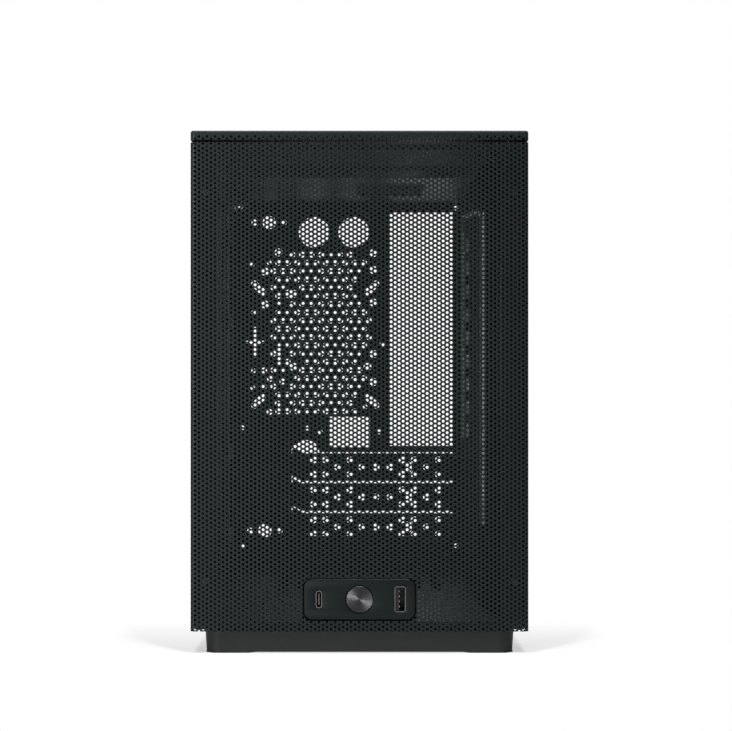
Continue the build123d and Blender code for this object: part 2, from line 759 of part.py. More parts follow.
def usb_a_contacts():
    """Four flat contacts on the tongue of the wide socket."""
    left = socket_offset - usb_a_height / 2 + socket_wall + usb_a_tongue
    pitch = usb_a_width / 5
    return Compound(children=[
        block(left, left + socket_wall, front_y + 2 * tongue_setback, socket_board_y,
              plate_z + (i - 1.5) * pitch - socket_wall, plate_z + (i - 1.5) * pitch + socket_wall)
        for i in range(4)])


def usb_c_shell():
    """Drawn metal shell of the narrow socket."""
    return socket_shell(RectangleRounded, usb_c_width, usb_c_height, usb_c_corner,
                        -socket_offset)


def usb_c_tongue_block():
    """Plastic tongue in the middle of the narrow socket."""
    half = usb_c_width / 2 - usb_c_height / 2
    return block(-socket_offset - usb_c_tongue / 2, -socket_offset + usb_c_tongue / 2,
                 front_y + tongue_setback, socket_board_y, plate_z - half, plate_z + half)


def io_board():
    """Circuit board behind the sockets and the switch."""
    board = Pos(0, plate_z) * Rectangle(socket_board_width, socket_board_height)
    for side in (-1, 1):
        board -= Pos(side * boss_offset, plate_z) * small_hole(boss_pilot + 2 * socket_clearance)
    return upright(board, socket_board_y, socket_board_y + socket_board_thickness)


def io_bracket():
    """Folded bracket that stands on the chassis floor and holds the board."""
    front = socket_board_y + socket_board_thickness
    low = base_z + chassis_sheet
    wall = Pos(0, low + bracket_height / 2) * Rectangle(bracket_width, bracket_height)
    wall -= Pos(0, plate_z) * Rectangle(bracket_window_width, bracket_window_height)
    for side in (-1, 1):
        wall -= Pos(side * boss_offset, plate_z) * small_hole(boss_pilot + 2 * socket_clearance)
    bracket = upright(wall, front, front + chassis_sheet)
    return bracket + block(-bracket_width / 2, bracket_width / 2, front, front + bracket_foot,
                           low, low + chassis_sheet)


def io_screws():
    """Two screws from behind the bracket into the bosses of the plate."""
    back = socket_board_y + socket_board_thickness + chassis_sheet
    screws = []
    for side in (-1, 1):
        place = Pos(side * boss_offset, plate_z)
        head = RegularPolygon(small_screw_head / 2, few_sides)
        shank = RegularPolygon(boss_pilot / 2 - thread_gap, few_sides)
        screw = upright(place * head, back, back + small_screw_head_height)
        screw += upright(place * shank, socket_board_y - small_screw_length + clear, back)
        screws.append(screw)
    return Compound(children=screws)


pieces = {
    "front_panel": front_panel(),
    "front_panel_studs": front_studs(),
    "left_side_panel": side_panel(-1),
    "left_panel_studs": side_studs(-1),
    "right_side_panel": side_panel(1),
    "right_panel_studs": side_studs(1),
    "top_cover": top_cover(),
    "top_cover_studs": cover_studs(),
    "front_frame": front_frame(),
    "chassis_floor": chassis_floor(),
    "chassis_top": chassis_top(),
    "left_post": side_post(-1),
    "right_post": side_post(1),
    "rear_panel": rear_panel(),
    "motherboard_tray": motherboard_tray(),
    "standoffs": standoffs(),
    "front_clips": front_clips(),
    "left_clips": side_clips(-1),
    "right_clips": side_clips(1),
    "top_clips": cover_clips(),
    "slot_screws": slot_screws(),
    "base_skirt": base_skirt(),
    "foot_pads": foot_pads(),
    "io_plate": io_plate(),
    "power_button": power_button(),
    "switch_body": switch_body(),
    "usb_a_shell": usb_a_shell(),
    "usb_a_tongue": usb_a_tongue_block(),
    "usb_a_contacts": usb_a_contacts(),
    "usb_c_shell": usb_c_shell(),
    "usb_c_tongue": usb_c_tongue_block(),
    "io_board": io_board(),
    "io_bracket": io_bracket(),
    "io_screws": io_screws(),
}
for number, height in enumerate(slot_middles(), start=1):
    pieces[f"slot_cover_{number}"] = slot_cover(height)

for name, piece in pieces.items():
    export_step(piece, f"parts/{name}.step")
    box = piece.bounding_box()
    print(f"{name:18} x {box.min.X:7.1f} {box.max.X:7.1f}  y {box.min.Y:7.1f} {box.max.Y:7.1f}"
          f"  z {box.min.Z:6.1f} {box.max.Z:6.1f}")
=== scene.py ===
# %% [markdown]
# # A small mesh computer case, dressed for its portrait
#
# The solids of the case come in as a fixed frame: every sheet, stud, clip and socket is already
# at its true place and size. This lesson adds what the eye needs: the fine perforation, the spun
# face of the button, the soft edges of the socket plate, and a finish for each surface.
#
# All lengths below are written in millimetres, as on a drawing, and turned into metres at the
# moment a mesh is made.

import bmesh
import bpy
import numpy as np
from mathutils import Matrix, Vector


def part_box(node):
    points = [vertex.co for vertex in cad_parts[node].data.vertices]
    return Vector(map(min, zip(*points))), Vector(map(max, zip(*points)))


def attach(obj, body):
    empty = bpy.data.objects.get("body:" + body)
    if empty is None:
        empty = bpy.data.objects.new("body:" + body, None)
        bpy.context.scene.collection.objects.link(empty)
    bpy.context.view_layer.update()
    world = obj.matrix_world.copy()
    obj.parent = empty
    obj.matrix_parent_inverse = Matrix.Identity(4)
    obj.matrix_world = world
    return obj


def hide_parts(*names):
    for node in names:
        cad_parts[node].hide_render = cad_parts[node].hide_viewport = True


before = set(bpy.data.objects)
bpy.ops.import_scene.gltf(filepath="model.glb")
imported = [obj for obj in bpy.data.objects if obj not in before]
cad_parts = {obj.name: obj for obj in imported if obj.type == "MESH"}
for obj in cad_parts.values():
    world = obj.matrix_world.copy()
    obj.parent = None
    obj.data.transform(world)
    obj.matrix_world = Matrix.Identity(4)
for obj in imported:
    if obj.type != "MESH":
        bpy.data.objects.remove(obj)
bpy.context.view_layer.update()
MM = 0.001

# %% [markdown]
# ## The camera first
#
# The portrait is taken straight from the front, level with the middle of the case, from about
# a metre away. A view camera keeps the uprights upright and slides the picture sideways and
# down instead of tilting, so the same is done here with the lens shift.

# %% Camera
FRAME_WIDTH = 732          # pixels across the picture
VANISH = (359.5, 386.5)    # the pixel straight ahead of the lens
FRONT_SCALE = 1.945        # pixels for one millimetre in the plane of the front mesh
CAMERA_Y = -1190.0
CAMERA_Z = 137.3
SENSOR = 36.0

front_low, front_high = (np.array(corner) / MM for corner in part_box("front_panel"))
face_distance = front_low[1] - CAMERA_Y
lens_data = bpy.data.cameras.new("portrait")
lens_data.sensor_width = SENSOR
lens_data.sensor_fit = "HORIZONTAL"
lens_data.lens = SENSOR * FRONT_SCALE * face_distance / FRAME_WIDTH
lens_data.shift_x = (FRAME_WIDTH / 2 - VANISH[0]) / FRAME_WIDTH
lens_data.shift_y = (VANISH[1] - (FRAME_WIDTH - 1) / 2) / FRAME_WIDTH
lens_data.clip_start = 0.05
camera = bpy.data.objects.new("portrait", lens_data)
camera.location = (0.0, CAMERA_Y * MM, CAMERA_Z * MM)
camera.rotation_euler = (np.pi / 2, 0.0, 0.0)
bpy.context.scene.collection.objects.link(camera)
bpy.context.scene.camera = camera
bpy.context.scene.view_settings.view_transform = "Standard"
print("lens, mm:", round(lens_data.lens, 2), " front distance, mm:", round(face_distance, 1))

# %% [markdown]
# ## Writing a material as an expression
#
# A node tree is easier to read as a formula. The class below wraps one output socket, and its
# operators add Math nodes. Any other node comes from one method, which takes the node's type,
# its settings and its inputs.

# %% Shader helpers


class Wire:
    """One output socket of a node tree; arithmetic on it adds Math nodes."""

    def __init__(self, tree, socket):
        self.tree = tree
        self.socket = socket

    def node(self, kind, settings=None, inputs=None, output=0):
        """Adds a node, makes its settings, then fills its inputs with numbers or wires."""
        made = self.tree.nodes.new(kind)
        for name, value in (settings or {}).items():
            setattr(made, name, value)
        for name, value in (inputs or {}).items():
            if isinstance(value, Wire):
                self.tree.links.new(value.socket, made.inputs[name])
            else:
                made.inputs[name].default_value = value
        return Wire(self.tree, made.outputs[output])

    def math(self, operation, *others):
        """A Math node on this wire and up to two more values."""
        values = dict(enumerate((self, *others)))
        return self.node("ShaderNodeMath", {"operation": operation}, values)

    def __add__(self, other):
        return self.math("ADD", other)

    def __mul__(self, other):
        return self.math("MULTIPLY", other)

    def __sub__(self, other):
        return self.math("SUBTRACT", other)

    def __rsub__(self, other):
        return (self * -1.0) + other

    def largest(self, other):
        """The larger of this value and another."""
        return self.math("MAXIMUM", other)

    def smallest(self, other):
        """The smaller of this value and another."""
        return self.math("MINIMUM", other)

    def between(self, low, high):
        """This value brought to 0..1 between low and high, and held there."""
        limits = {"From Min": low, "From Max": high}
        return self.node("ShaderNodeMapRange", {"clamp": True}, {"Value": self, **limits})


def new_material(name, **constants):
    """A material with a Principled shader; constants are set on its own sockets."""
    material = bpy.data.materials.new(name)
    material.use_nodes = True
    shader = material.node_tree.nodes["Principled BSDF"]
    for socket, value in constants.items():
        shader.inputs[socket.replace("_", " ")].default_value = value
    return material


def start_wire(material):
    """The Object coordinates of a material, as the wire that its pattern starts from."""
    tree = material.node_tree
    place = tree.nodes.new("ShaderNodeTexCoord")
    return Wire(tree, place.outputs["Object"])


def feed(material, **wires):
    """Connects wires to sockets of the material's Principled shader."""
    shader = material.node_tree.nodes["Principled BSDF"]
    for name, wire in wires.items():
        material.node_tree.links.new(wire.socket, shader.inputs[name.replace("_", " ")])


def noise(place, size_mm, detail=2.0):
    """Smooth noise whose bumps are about size_mm across, 0..1."""
    inputs = {"Vector": place, "Scale": 1.0 / (size_mm * MM), "Detail": detail}
    return place.node("ShaderNodeTexNoise", {}, inputs)


def parts(vector):
    """The x, y and z of a vector as three wires."""
    made = vector.node("ShaderNodeSeparateXYZ", {}, {0: vector})
    return [Wire(vector.tree, socket) for socket in made.socket.node.outputs]


def split(place):
    """The x, y and z of a place as three wires, in millimetres."""
    return [wire * (1 / MM) for wire in parts(place)]


def tint(low_colour, high_colour, amount):
    """A colour between two colours, by a wire of 0..1."""
    return amount.node("ShaderNodeMix", {"data_type": "RGBA"},
                       {"Factor": amount, "A": (*low_colour, 1.0), "B": (*high_colour, 1.0)},
                       output="Result")


def bump(height, depth_mm, strength=1.0):
    """A bump from a height of 0..1 that stands for depth_mm."""
    return height.node("ShaderNodeBump", {}, {"Height": height, "Distance": depth_mm * MM,
                                              "Strength": strength}, output="Normal")


# %% [markdown]
# ## Painted sheet
#
# The whole case is powder coated: a thick matt paint, almost black with a breath of green, whose
# surface is a very fine orange peel. Two soft noises do the work: a broad one lets the colour
# drift a little, and a fine one moves the roughness and raises the peel.


# %% Powder coat
DRIFT_SIZE, PEEL_SIZE = 38.0, 0.35     # of the slow drift of the colour and of the fine peel
PEEL_DEPTH, PEEL_ROUGHNESS = 0.02, 0.12
PEEL_TINT = (0.84, 1.0, 1.02, 1.0)     # of the paint's reflections
MESH_DARK, MESH_LIGHT = (0.0026, 0.0040, 0.0042), (0.0036, 0.0052, 0.0054)
MIDDLE, NEARLY_ALL = (0.3, 0.7), (0.2, 0.8)    # parts of a noise that are spread over 0..1


def powder_coat(name, dark, light, roughness, specular):
    """Matt paint: a slow drift between two near blacks and a fine peel."""
    material = new_material(name, Specular_IOR_Level=specular, Specular_Tint=PEEL_TINT)
    place = start_wire(material)
    drift = noise(place, DRIFT_SIZE, detail=3.0)
    peel = noise(place, PEEL_SIZE, detail=3.0)
    feed(material, Base_Color=tint(dark, light, drift.between(*MIDDLE)),
         Roughness=peel.between(*NEARLY_ALL) * PEEL_ROUGHNESS + roughness,
         Normal=bump(peel, PEEL_DEPTH, strength=0.5))
    return material


paint = {
    "mesh_sheet": powder_coat("mesh paint", MESH_DARK, MESH_LIGHT, 0.38, 0.3),
    "chassis_sheet": powder_coat("chassis paint", (0.0040, 0.0050, 0.0053),
                                 (0.0052, 0.0064, 0.0067), 0.38, 0.35),
}
print("paints:", list(paint))

# %% [markdown]
# ## Plastics, metals and the rest
#
# Moulded parts carry a fine spark-eroded grain. Metals are told apart by colour, by how tight
# their reflection is, and by a trace of handling that varies the roughness.


# %% Plastics and metals
CLOUD_SIZE = 25.0                      # of the slow change of a moulding's colour
GRAIN_DEPTH, GRAIN_ROUGHNESS = 0.015, 0.1
MARK_SIZE = 0.8                        # of the handling marks on metal


def moulded(name, dark, light, roughness, grain_mm, specular=0.4):
    """Moulded plastic with a fine grain."""
    material = new_material(name, Specular_IOR_Level=specular)
    place = start_wire(material)
    grain = noise(place, grain_mm)
    cloud = noise(place, CLOUD_SIZE)
    feed(material, Base_Color=tint(dark, light, cloud.between(*MIDDLE)),
         Roughness=grain.between(*NEARLY_ALL) * GRAIN_ROUGHNESS + roughness,
         Normal=bump(grain, GRAIN_DEPTH, strength=0.6))
    return material


def metal(name, dark, light, roughness, uneven=0.15, streak=(1.0, 1.0, 1.0)):
    """Bare or plated metal; uneven is how much its handling marks show, streak stretches them."""
    material = new_material(name, Metallic=1.0)
    place = start_wire(material)
    along = place.node("ShaderNodeVectorMath", {"operation": "MULTIPLY"}, {0: place, 1: streak})
    marks = noise(along, MARK_SIZE, detail=3.0)
    feed(material, Base_Color=tint(dark, light, marks.between(*MIDDLE)),
         Roughness=marks.between(*NEARLY_ALL) * uneven + roughness)
    return material


paint |= {
    "base_plastic": moulded("base plastic", (0.0125, 0.0144, 0.0142), (0.0142, 0.0163, 0.0160),
                            0.5, 0.25, 0.22),
    "pad_rubber": moulded("pad rubber", (0.008, 0.008, 0.008), (0.012, 0.012, 0.012), 0.7, 0.4),
    "plate_plastic": moulded("plate plastic", (0.0036, 0.0064, 0.0068), (0.0046, 0.0078, 0.0082),
                             0.36, 0.18, 0.15),
    "tongue_plastic": moulded("socket plastic", (0.003, 0.003, 0.003), (0.005, 0.005, 0.005),
                              0.35, 0.2),
    "board_green": moulded("solder mask", (0.005, 0.022, 0.012), (0.007, 0.03, 0.016), 0.3, 0.6),
    "button_metal": metal("button metal", (0.052, 0.052, 0.056), (0.060, 0.060, 0.066), 0.29,
                          uneven=0.03),
    "bright_steel": metal("plated steel", (0.50, 0.50, 0.50), (0.62, 0.62, 0.62), 0.25),
    "spring_steel": metal("spring steel", (0.52, 0.52, 0.53), (0.62, 0.62, 0.63), 0.45),
    "dark_screw": metal("black screw", (0.045, 0.045, 0.05), (0.07, 0.07, 0.075), 0.35),
    "brass": metal("blackened brass", (0.060, 0.050, 0.036), (0.085, 0.070, 0.048), 0.4),
    "shell_steel": metal("socket shell", (0.17, 0.17, 0.165), (0.23, 0.23, 0.22), 0.3,
                         streak=(1.0, 0.2, 1.0)),
    "contact_gold": metal("pale contact", (0.62, 0.58, 0.48), (0.74, 0.70, 0.58), 0.25),
}
# Two small pieces and three whole ones have a finish of their own, apart from that of their slot.
# A bright metal ring on the socket plate's chamfer: a painted highlight.
painted_highlight_rim = metal("painted highlight rim", (0.56, 0.62, 0.62), (0.66, 0.72, 0.72), 0.5)
# Bright steel on the tray's painted edges: a painted highlight.
painted_highlight_steel = metal("pressed edge painted highlight", (0.80, 0.84, 0.84), (0.88, 0.92, 0.92), 0.5)
node_finish = {
    "usb_c_tongue": moulded("pale tongue", (0.075, 0.070, 0.064), (0.095, 0.088, 0.080), 0.4, 0.2),
    # The chassis top is the same black paint made far lighter: a painted reflection, for the bright
    # band on its underside.
    "chassis_top": powder_coat("chassis top painted reflection", (0.070, 0.073, 0.073),
                               (0.080, 0.083, 0.083), 0.30, 1.0),
    "motherboard_tray": powder_coat("tray paint", (0.0030, 0.0038, 0.0040),
                                    (0.0042, 0.0052, 0.0055), 0.85, 0.04),
}
print("finishes:", len(paint))
for name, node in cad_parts.items():
    slot = node.data.materials[0].name
    node.data.materials[0] = node_finish.get(name, paint[slot])

# %% [markdown]
# ## A perforated sheet as one surface
#
# The mesh is a sheet of steel with hexagonal openings in upright columns, every second column
# half a pitch higher. Cutting thousands of holes with a boolean would take minutes. It is quicker
# to write the metal down directly. Each opening lends its six corners. Between two neighbours
# there is a straight strip of metal, and between three of them a small triangle, so the whole
# sheet is three strips and two triangles for each opening.

# %% The pattern in the flat
SIDES = 6


def lattice(span_s, span_t, pitch, phase):
    """Middles of the openings over a rectangle and a little more: s, t and the column's parity."""
    column = pitch * np.sqrt(3) / 2
    first = int(np.floor((span_s[0] - phase[0]) / column)) - 2
    last = int(np.ceil((span_s[1] - phase[0]) / column)) + 2
    low = int(np.floor((span_t[0] - phase[1]) / pitch)) - 2
    high = int(np.ceil((span_t[1] - phase[1]) / pitch)) + 2
    i, j = np.meshgrid(np.arange(first, last + 1), np.arange(low, high + 1), indexing="ij")
    parity = np.mod(i[:, 0], 2)
    s = phase[0] + i * column
    t = phase[1] + (j + parity[:, None] / 2) * pitch
    return s, t, parity


def fans(corners):
    """Triangles of convex polygons; corners is an array with one polygon in each row."""
    count = corners.shape[1]
    return np.concatenate([corners[:, [0, k, k + 1]] for k in range(1, count - 1)])


def metal_between(index, parity):
    """Triangles of the strips and junctions between the openings of a lattice."""
    rows = np.arange(1, index.shape[1] - 1)
    cols = np.arange(index.shape[0] - 1)
    here = index[:-1, 1:-1]
    above = index[:-1, 2:]
    shift = parity[:-1, None]
    right_up = index[cols[:, None] + 1, rows[None, :] + shift]
    right_down = index[cols[:, None] + 1, rows[None, :] + shift - 1]

    def polygon(*corners):
        return fans(np.stack([hole[..., k].ravel() for hole, k in corners], axis=1))

    return np.concatenate([
        polygon((here, 2), (here, 1), (above, 5), (above, 4)),
        polygon((here, 0), (right_up, 4), (right_up, 3), (here, 1)),
        polygon((here, 5), (right_down, 3), (right_down, 2), (here, 0)),
        polygon((here, 0), (right_down, 2), (right_up, 4)),
        polygon((here, 1), (right_up, 3), (above, 5)),
    ])


def pushed_out(points, window):
    """Which points lie in a rounded rectangle, and all points with those moved to its edge."""
    middle, half, corner = (np.array(value, float) for value in window)
    offset = points - middle
    q = np.abs(offset) - (half - corner)
    beyond = np.linalg.norm(np.maximum(q, 0), axis=1)
    inside = beyond + np.minimum(q.max(axis=1), 0) < corner - 1e-6
    at_corner = inside & (q.min(axis=1) > 0)
    moved = points.copy()
    sign = np.where(offset < 0, -1.0, 1.0)
    round_off = (half - corner) + np.maximum(q, 0) * (corner / np.maximum(beyond, 1e-9))[:, None]
    moved[at_corner] = (middle + sign * round_off)[at_corner]
    axis = q.argmax(axis=1)
    for k in (0, 1):
        flat = inside & ~at_corner & (axis == k)
        moved[flat, k] = (middle + sign * half)[flat, k]
    return inside, moved


def perforated(span_s, span_t, pitch, share, phase=(0.0, 0.0), window=None, closed=None):
    """Points (s, t) and triangles of one face of a perforated sheet.

    The sheet ends at the two spans and at the edge of the window. An opening that crosses an
    edge stays open to it, which gives the real sheet its scalloped edge. closed(s, t) says
    which openings aren't punched.
    """
    s, t, parity = lattice(span_s, span_t, pitch, phase)
    angle = np.arange(SIDES) * 2 * np.pi / SIDES
    ring = share * pitch / np.sqrt(3) * np.stack([np.cos(angle), np.sin(angle)], axis=1)
    points = (np.stack([s, t], axis=-1)[:, :, None, :] + ring).reshape(-1, 2)
    index = np.arange(len(points)).reshape(*s.shape, SIDES)
    triangles = metal_between(index, parity)
    if closed is not None:
        plugged = index[closed(s, t)]
        triangles = np.concatenate([triangles, fans(plugged)])
    low, high = np.array([span_s[0], span_t[0]]), np.array([span_s[1], span_t[1]])
    outside = ((points < low) | (points > high)).any(axis=1)
    points = np.clip(points, low, high)
    if window is not None:
        inside, points = pushed_out(points, window)
        outside |= inside
    triangles = triangles[~outside[triangles].all(axis=1)]
    return welded(points, triangles)


def merged(points, triangles, grain=1e-3):
    """Joins points that coincide and drops the triangles that lose a corner by it."""
    _, first, new = np.unique(np.round(points / grain).astype(np.int64), axis=0,
                              return_index=True, return_inverse=True)
    triangles = new.ravel()[triangles]
    a, b, c = triangles.T
    return points[first], triangles[(a != b) & (b != c) & (c != a)]


def welded(points, triangles, grain=1e-4):
    """Joins points of the flat pattern that coincide and drops the triangles without area."""
    points, triangles = merged(points, triangles, grain)
    corner, u, v = (points[column] for column in triangles.T)
    u, v = u - corner, v - corner
    area = np.abs(u[:, 0] * v[:, 1] - u[:, 1] * v[:, 0])
    return points, triangles[area > grain]


# %% [markdown]
# ## From a flat pattern to a folded sheet
#
# A press folds the flat sheet after it is punched. The same order works here: a function says
# where a point of the flat pattern, at some depth in the metal, ends up in space. The front and
# the back of the sheet are the same pattern at two depths, and a wall joins them along every
# edge that only one triangle uses.

# %% Thickness and folds


def free_edges(triangles, count):
    """Edges that belong to one triangle only, in that triangle's direction."""
    edges = np.concatenate([triangles[:, [0, 1]], triangles[:, [1, 2]], triangles[:, [2, 0]]])
    forward = edges[:, 0] * count + edges[:, 1]
    backward = edges[:, 1] * count + edges[:, 0]
    return edges[~np.isin(forward, backward)]


def sheet_solid(flat_points, triangles, thickness, place):
    """Closed sheet: place(s, t, depth) gives x, y, z for whole arrays."""
    s, t = flat_points.T
    front = place(s, t, 0.0)
    back = place(s, t, thickness)
    count = len(flat_points)
    a, b = free_edges(triangles, count).T
    walls = np.concatenate([np.stack([b, a, a + count], axis=1),
                            np.stack([b, a + count, b + count], axis=1)])
    faces = np.concatenate([triangles, triangles[:, ::-1] + count, walls])
    return np.concatenate([front, back]), faces


def stacked(*columns):
    """x, y and z columns, some of them single numbers, as rows of points."""
    return np.stack(np.broadcast_arrays(*columns), axis=-1).astype(float)


def joined(*solids):
    """Several solids, each a pair of points and triangles, as one pair."""
    offset = 0
    all_points, all_faces = [], []
    for points, faces in solids:
        all_points.append(points)
        all_faces.append(faces + offset)
        offset += len(points)
    return np.concatenate(all_points), np.concatenate(all_faces)


def add_piece(name, solid, body, slot, stands_for=(), finish=None, smooth_below=0.0):
    """Makes a mesh object from points in millimetres and hands it to the frame.

    finish is a material to use in place of the slot's own. Edges that turn by less than
    smooth_below degrees are shaded smooth.
    """
    points, faces = solid
    mesh = bpy.data.meshes.new(name)
    mesh.from_pydata((points * MM).tolist(), [], faces.tolist())
    mesh.materials.append(finish or paint[slot])
    if smooth_below:
        mesh.shade_smooth()
        mesh.set_sharp_from_angle(angle=np.radians(smooth_below))
    piece = bpy.data.objects.new(name, mesh)
    bpy.context.scene.collection.objects.link(piece)
    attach(piece, body)
    if stands_for:
        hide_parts(*stands_for)
    print(f"{name}: {len(points)} points, {len(faces)} faces")
    return piece


# %% [markdown]
# ## The front panel
#
# Measured on the portrait, the columns stand 2.07 mm apart and the openings 2.38 mm, with about
# a third of the sheet open. The sheet turns round a tight bend on each side and runs back 14 mm.
# The window for the socket plate is punched through the pattern, so openings along it are cut.

# %% Front mesh
MESH_PITCH = 2.377
MESH_OPEN = 0.578          # width of an opening as a share of the pitch
MESH_PHASE = (-0.18, 1.83)
SHEET = 1.2
BEND = 2.0                 # outside radius of the folded sides
WINDOW_GAP = 0.65          # dark line round the socket plate

plate_low, plate_high = (np.array(corner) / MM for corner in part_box("io_plate"))
plate_middle = (plate_low + plate_high)[[0, 2]] / 2
plate_half = (plate_high - plate_low)[[0, 2]] / 2
PLATE_CORNER = 4.0
front_width = front_high[0] - front_low[0]
front_face = front_low[1]
front_return = front_high[1] - front_low[1]


def fold_front(s, t, depth):
    """Straight in the middle, then a quarter turn of radius BEND, then straight back."""
    level = front_width / 2 - BEND
    past = np.maximum(np.abs(s) - level, 0.0)
    turn = np.clip(past / BEND, 0.0, np.pi / 2)
    back = np.maximum(past - BEND * np.pi / 2, 0.0)
    radius = BEND - depth
    x = np.minimum(np.abs(s), level) + np.where(past > 0, radius * np.sin(turn), 0.0)
    y = front_face + BEND - radius * np.cos(turn) + back
    return stacked(np.sign(s) * x, y, t)


flat_half = front_width / 2 - BEND + BEND * np.pi / 2 + (front_return - BEND)
socket_window = (plate_middle, plate_half + WINDOW_GAP, PLATE_CORNER + WINDOW_GAP)
for name, span in (("front_mesh_left", (-flat_half, 0.0)), ("front_mesh_right", (0.0, flat_half))):
    flat = perforated(span, (front_low[2], front_high[2]), MESH_PITCH, MESH_OPEN,
                      MESH_PHASE, socket_window)
    add_piece(name, sheet_solid(*flat, SHEET, fold_front), "front_panel", "mesh_sheet",
              ["front_panel"])

# %% [markdown]
# ## The top cover
#
# The same mesh, folded down on all four sides. Seen from the front only its narrow lip shows,
# with one row of openings, every second column, and a rounded edge above them. The cover is made
# of the flat top in two halves, a rolled edge carried round the outline, and the four lips.

# %% Top cover
top_low, top_high = (np.array(corner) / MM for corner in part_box("top_cover"))
EDGE = SHEET               # radius of the rolled edge
LIP_TOP = top_high[2] - 1.9
LIP_ROW = 1.75             # from the lower edge of the lip up to its row of openings
CORNER_STEPS = 6


def rounded_outline(low, high, radius, inset=0.0):
    """Points round a rounded rectangle, anticlockwise from above; inset moves them inwards."""
    turn = np.linspace(0.0, np.pi / 2, CORNER_STEPS + 1)
    middles = [(high[0], high[1]), (low[0], high[1]), (low[0], low[1]), (high[0], low[1])]
    points = []
    for k, (x, y) in enumerate(middles):
        angle = turn + k * np.pi / 2
        x_in = x - radius if k in (0, 3) else x + radius
        y_in = y - radius if k in (0, 1) else y + radius
        points.append(np.stack([x_in + (radius - inset) * np.cos(angle),
                                y_in + (radius - inset) * np.sin(angle)], axis=1))
    return np.concatenate(points)


def ring_solid(low, high, radius, profile):
    """Carries a closed profile of (inset, z) pairs round a rounded rectangle."""
    rings = [np.column_stack([rounded_outline(low, high, radius, inset),
                              np.full(4 * (CORNER_STEPS + 1), z)]) for inset, z in profile]
    points = np.concatenate(rings)
    around, along = len(rings[0]), len(rings)
    i, j = np.meshgrid(np.arange(along), np.arange(around), indexing="ij")
    next_i, next_j = (i + 1) % along, (j + 1) % around
    quads = np.stack([i * around + j, i * around + next_j,
                      next_i * around + next_j, next_i * around + j], axis=-1).reshape(-1, 4)
    return points, fans(quads)


turn = np.linspace(0.0, np.pi / 2, CORNER_STEPS + 1)
rolled = [(EDGE - EDGE * np.cos(a), top_high[2] - EDGE + EDGE * np.sin(a)) for a in turn]
profile = [(0.0, LIP_TOP), *rolled, (EDGE, LIP_TOP)]
rolled_edge = ring_solid(top_low, top_high, BEND, profile)

lip_span = (top_low[2], LIP_TOP)
lip_phase_t = top_low[2] + LIP_ROW


def above_row(s, t):
    """Openings of the lip that aren't punched: all those above its row."""
    return t > lip_phase_t + MESH_PITCH / 4


def lip(half_length, place):
    """One straight lip of the cover, with its row of openings."""
    span = (-half_length, half_length)
    flat = perforated(span, lip_span, MESH_PITCH, MESH_OPEN, (MESH_PHASE[0], lip_phase_t),
                      closed=above_row)
    return sheet_solid(*flat, SHEET, place)


half_x, half_y = (top_high[0] - top_low[0]) / 2, (top_high[1] - top_low[1]) / 2
middle_y = (top_high[1] + top_low[1]) / 2
lips = [
    lip(half_x - BEND, lambda s, t, d: stacked(s, top_low[1] + d, t)),
    lip(half_x - BEND, lambda s, t, d: stacked(-s, top_high[1] - d, t)),
    lip(half_y - BEND, lambda s, t, d: stacked(top_high[0] - d, middle_y + s, t)),
    lip(half_y - BEND, lambda s, t, d: stacked(top_low[0] + d, middle_y - s, t)),
]


def corner_lip(x_sign, y_sign):
    """Quarter tube between two lips."""
    start = {(1, 1): 0.0, (-1, 1): 0.5, (-1, -1): 1.0, (1, -1): 1.5}[(x_sign, y_sign)] * np.pi
    angles = start + np.linspace(0.0, np.pi / 2, CORNER_STEPS + 1)
    centre = np.array([x_sign * (half_x - BEND), middle_y + y_sign * (half_y - BEND)])
    s, t = np.meshgrid(np.arange(CORNER_STEPS + 1), np.array(lip_span), indexing="ij")
    index = np.arange(s.size).reshape(s.shape)
    quads = np.stack([index[:-1, 0], index[1:, 0], index[1:, 1], index[:-1, 1]], axis=-1)

    def place(step, height, depth):
        angle = angles[np.round(step).astype(int)]
        return stacked(centre[0] + (BEND - depth) * np.cos(angle),
                       centre[1] + (BEND - depth) * np.sin(angle), height)

    return sheet_solid(np.stack([s.ravel(), t.ravel()], axis=1), fans(quads), SHEET, place)


corner_lips = [corner_lip(x, y) for x in (-1, 1) for y in (-1, 1)]
add_piece("top_cover_edge", joined(rolled_edge, *lips, *corner_lips), "top_cover", "mesh_sheet",
          ["top_cover"])


def on_top(s, t, depth):
    """The flat top, with depth counted down from its upper face."""
    return stacked(s, middle_y + t, top_high[2] - depth)


for name, span in (("top_mesh_left", (-half_x + EDGE, 0.0)),
                   ("top_mesh_right", (0.0, half_x - EDGE))):
    flat = perforated(span, (-half_y + EDGE, half_y - EDGE), MESH_PITCH, MESH_OPEN,
                      (MESH_PHASE[0], 0.0))
    add_piece(name, sheet_solid(*flat, SHEET, on_top), "top_cover", "mesh_sheet", ["top_cover"])

# %% [markdown]
# ## The side panels
#
# The sides carry sixteen thousand openings each, too many to cut. Between two columns of openings
# the sheet has a straight upright bar of solid metal, so the bars are made as metal and the short
# webs between them are drawn by the material, as a pattern of transparency on the sheet's two
# faces. A look along the inside of the sheet then meets bar after bar, and stays dark as it should.

# %% Side sheets
HOLE_HALF = MESH_OPEN * MESH_PITCH / 2     # from the middle of an opening to a flat side
COLUMN = MESH_PITCH * np.sqrt(3) / 2
BAR_INSET = 0.04                           # of the bars from the faces of the sheet
SIDE_ROUGHNESS, SIDE_SHINE = 0.42, 0.18


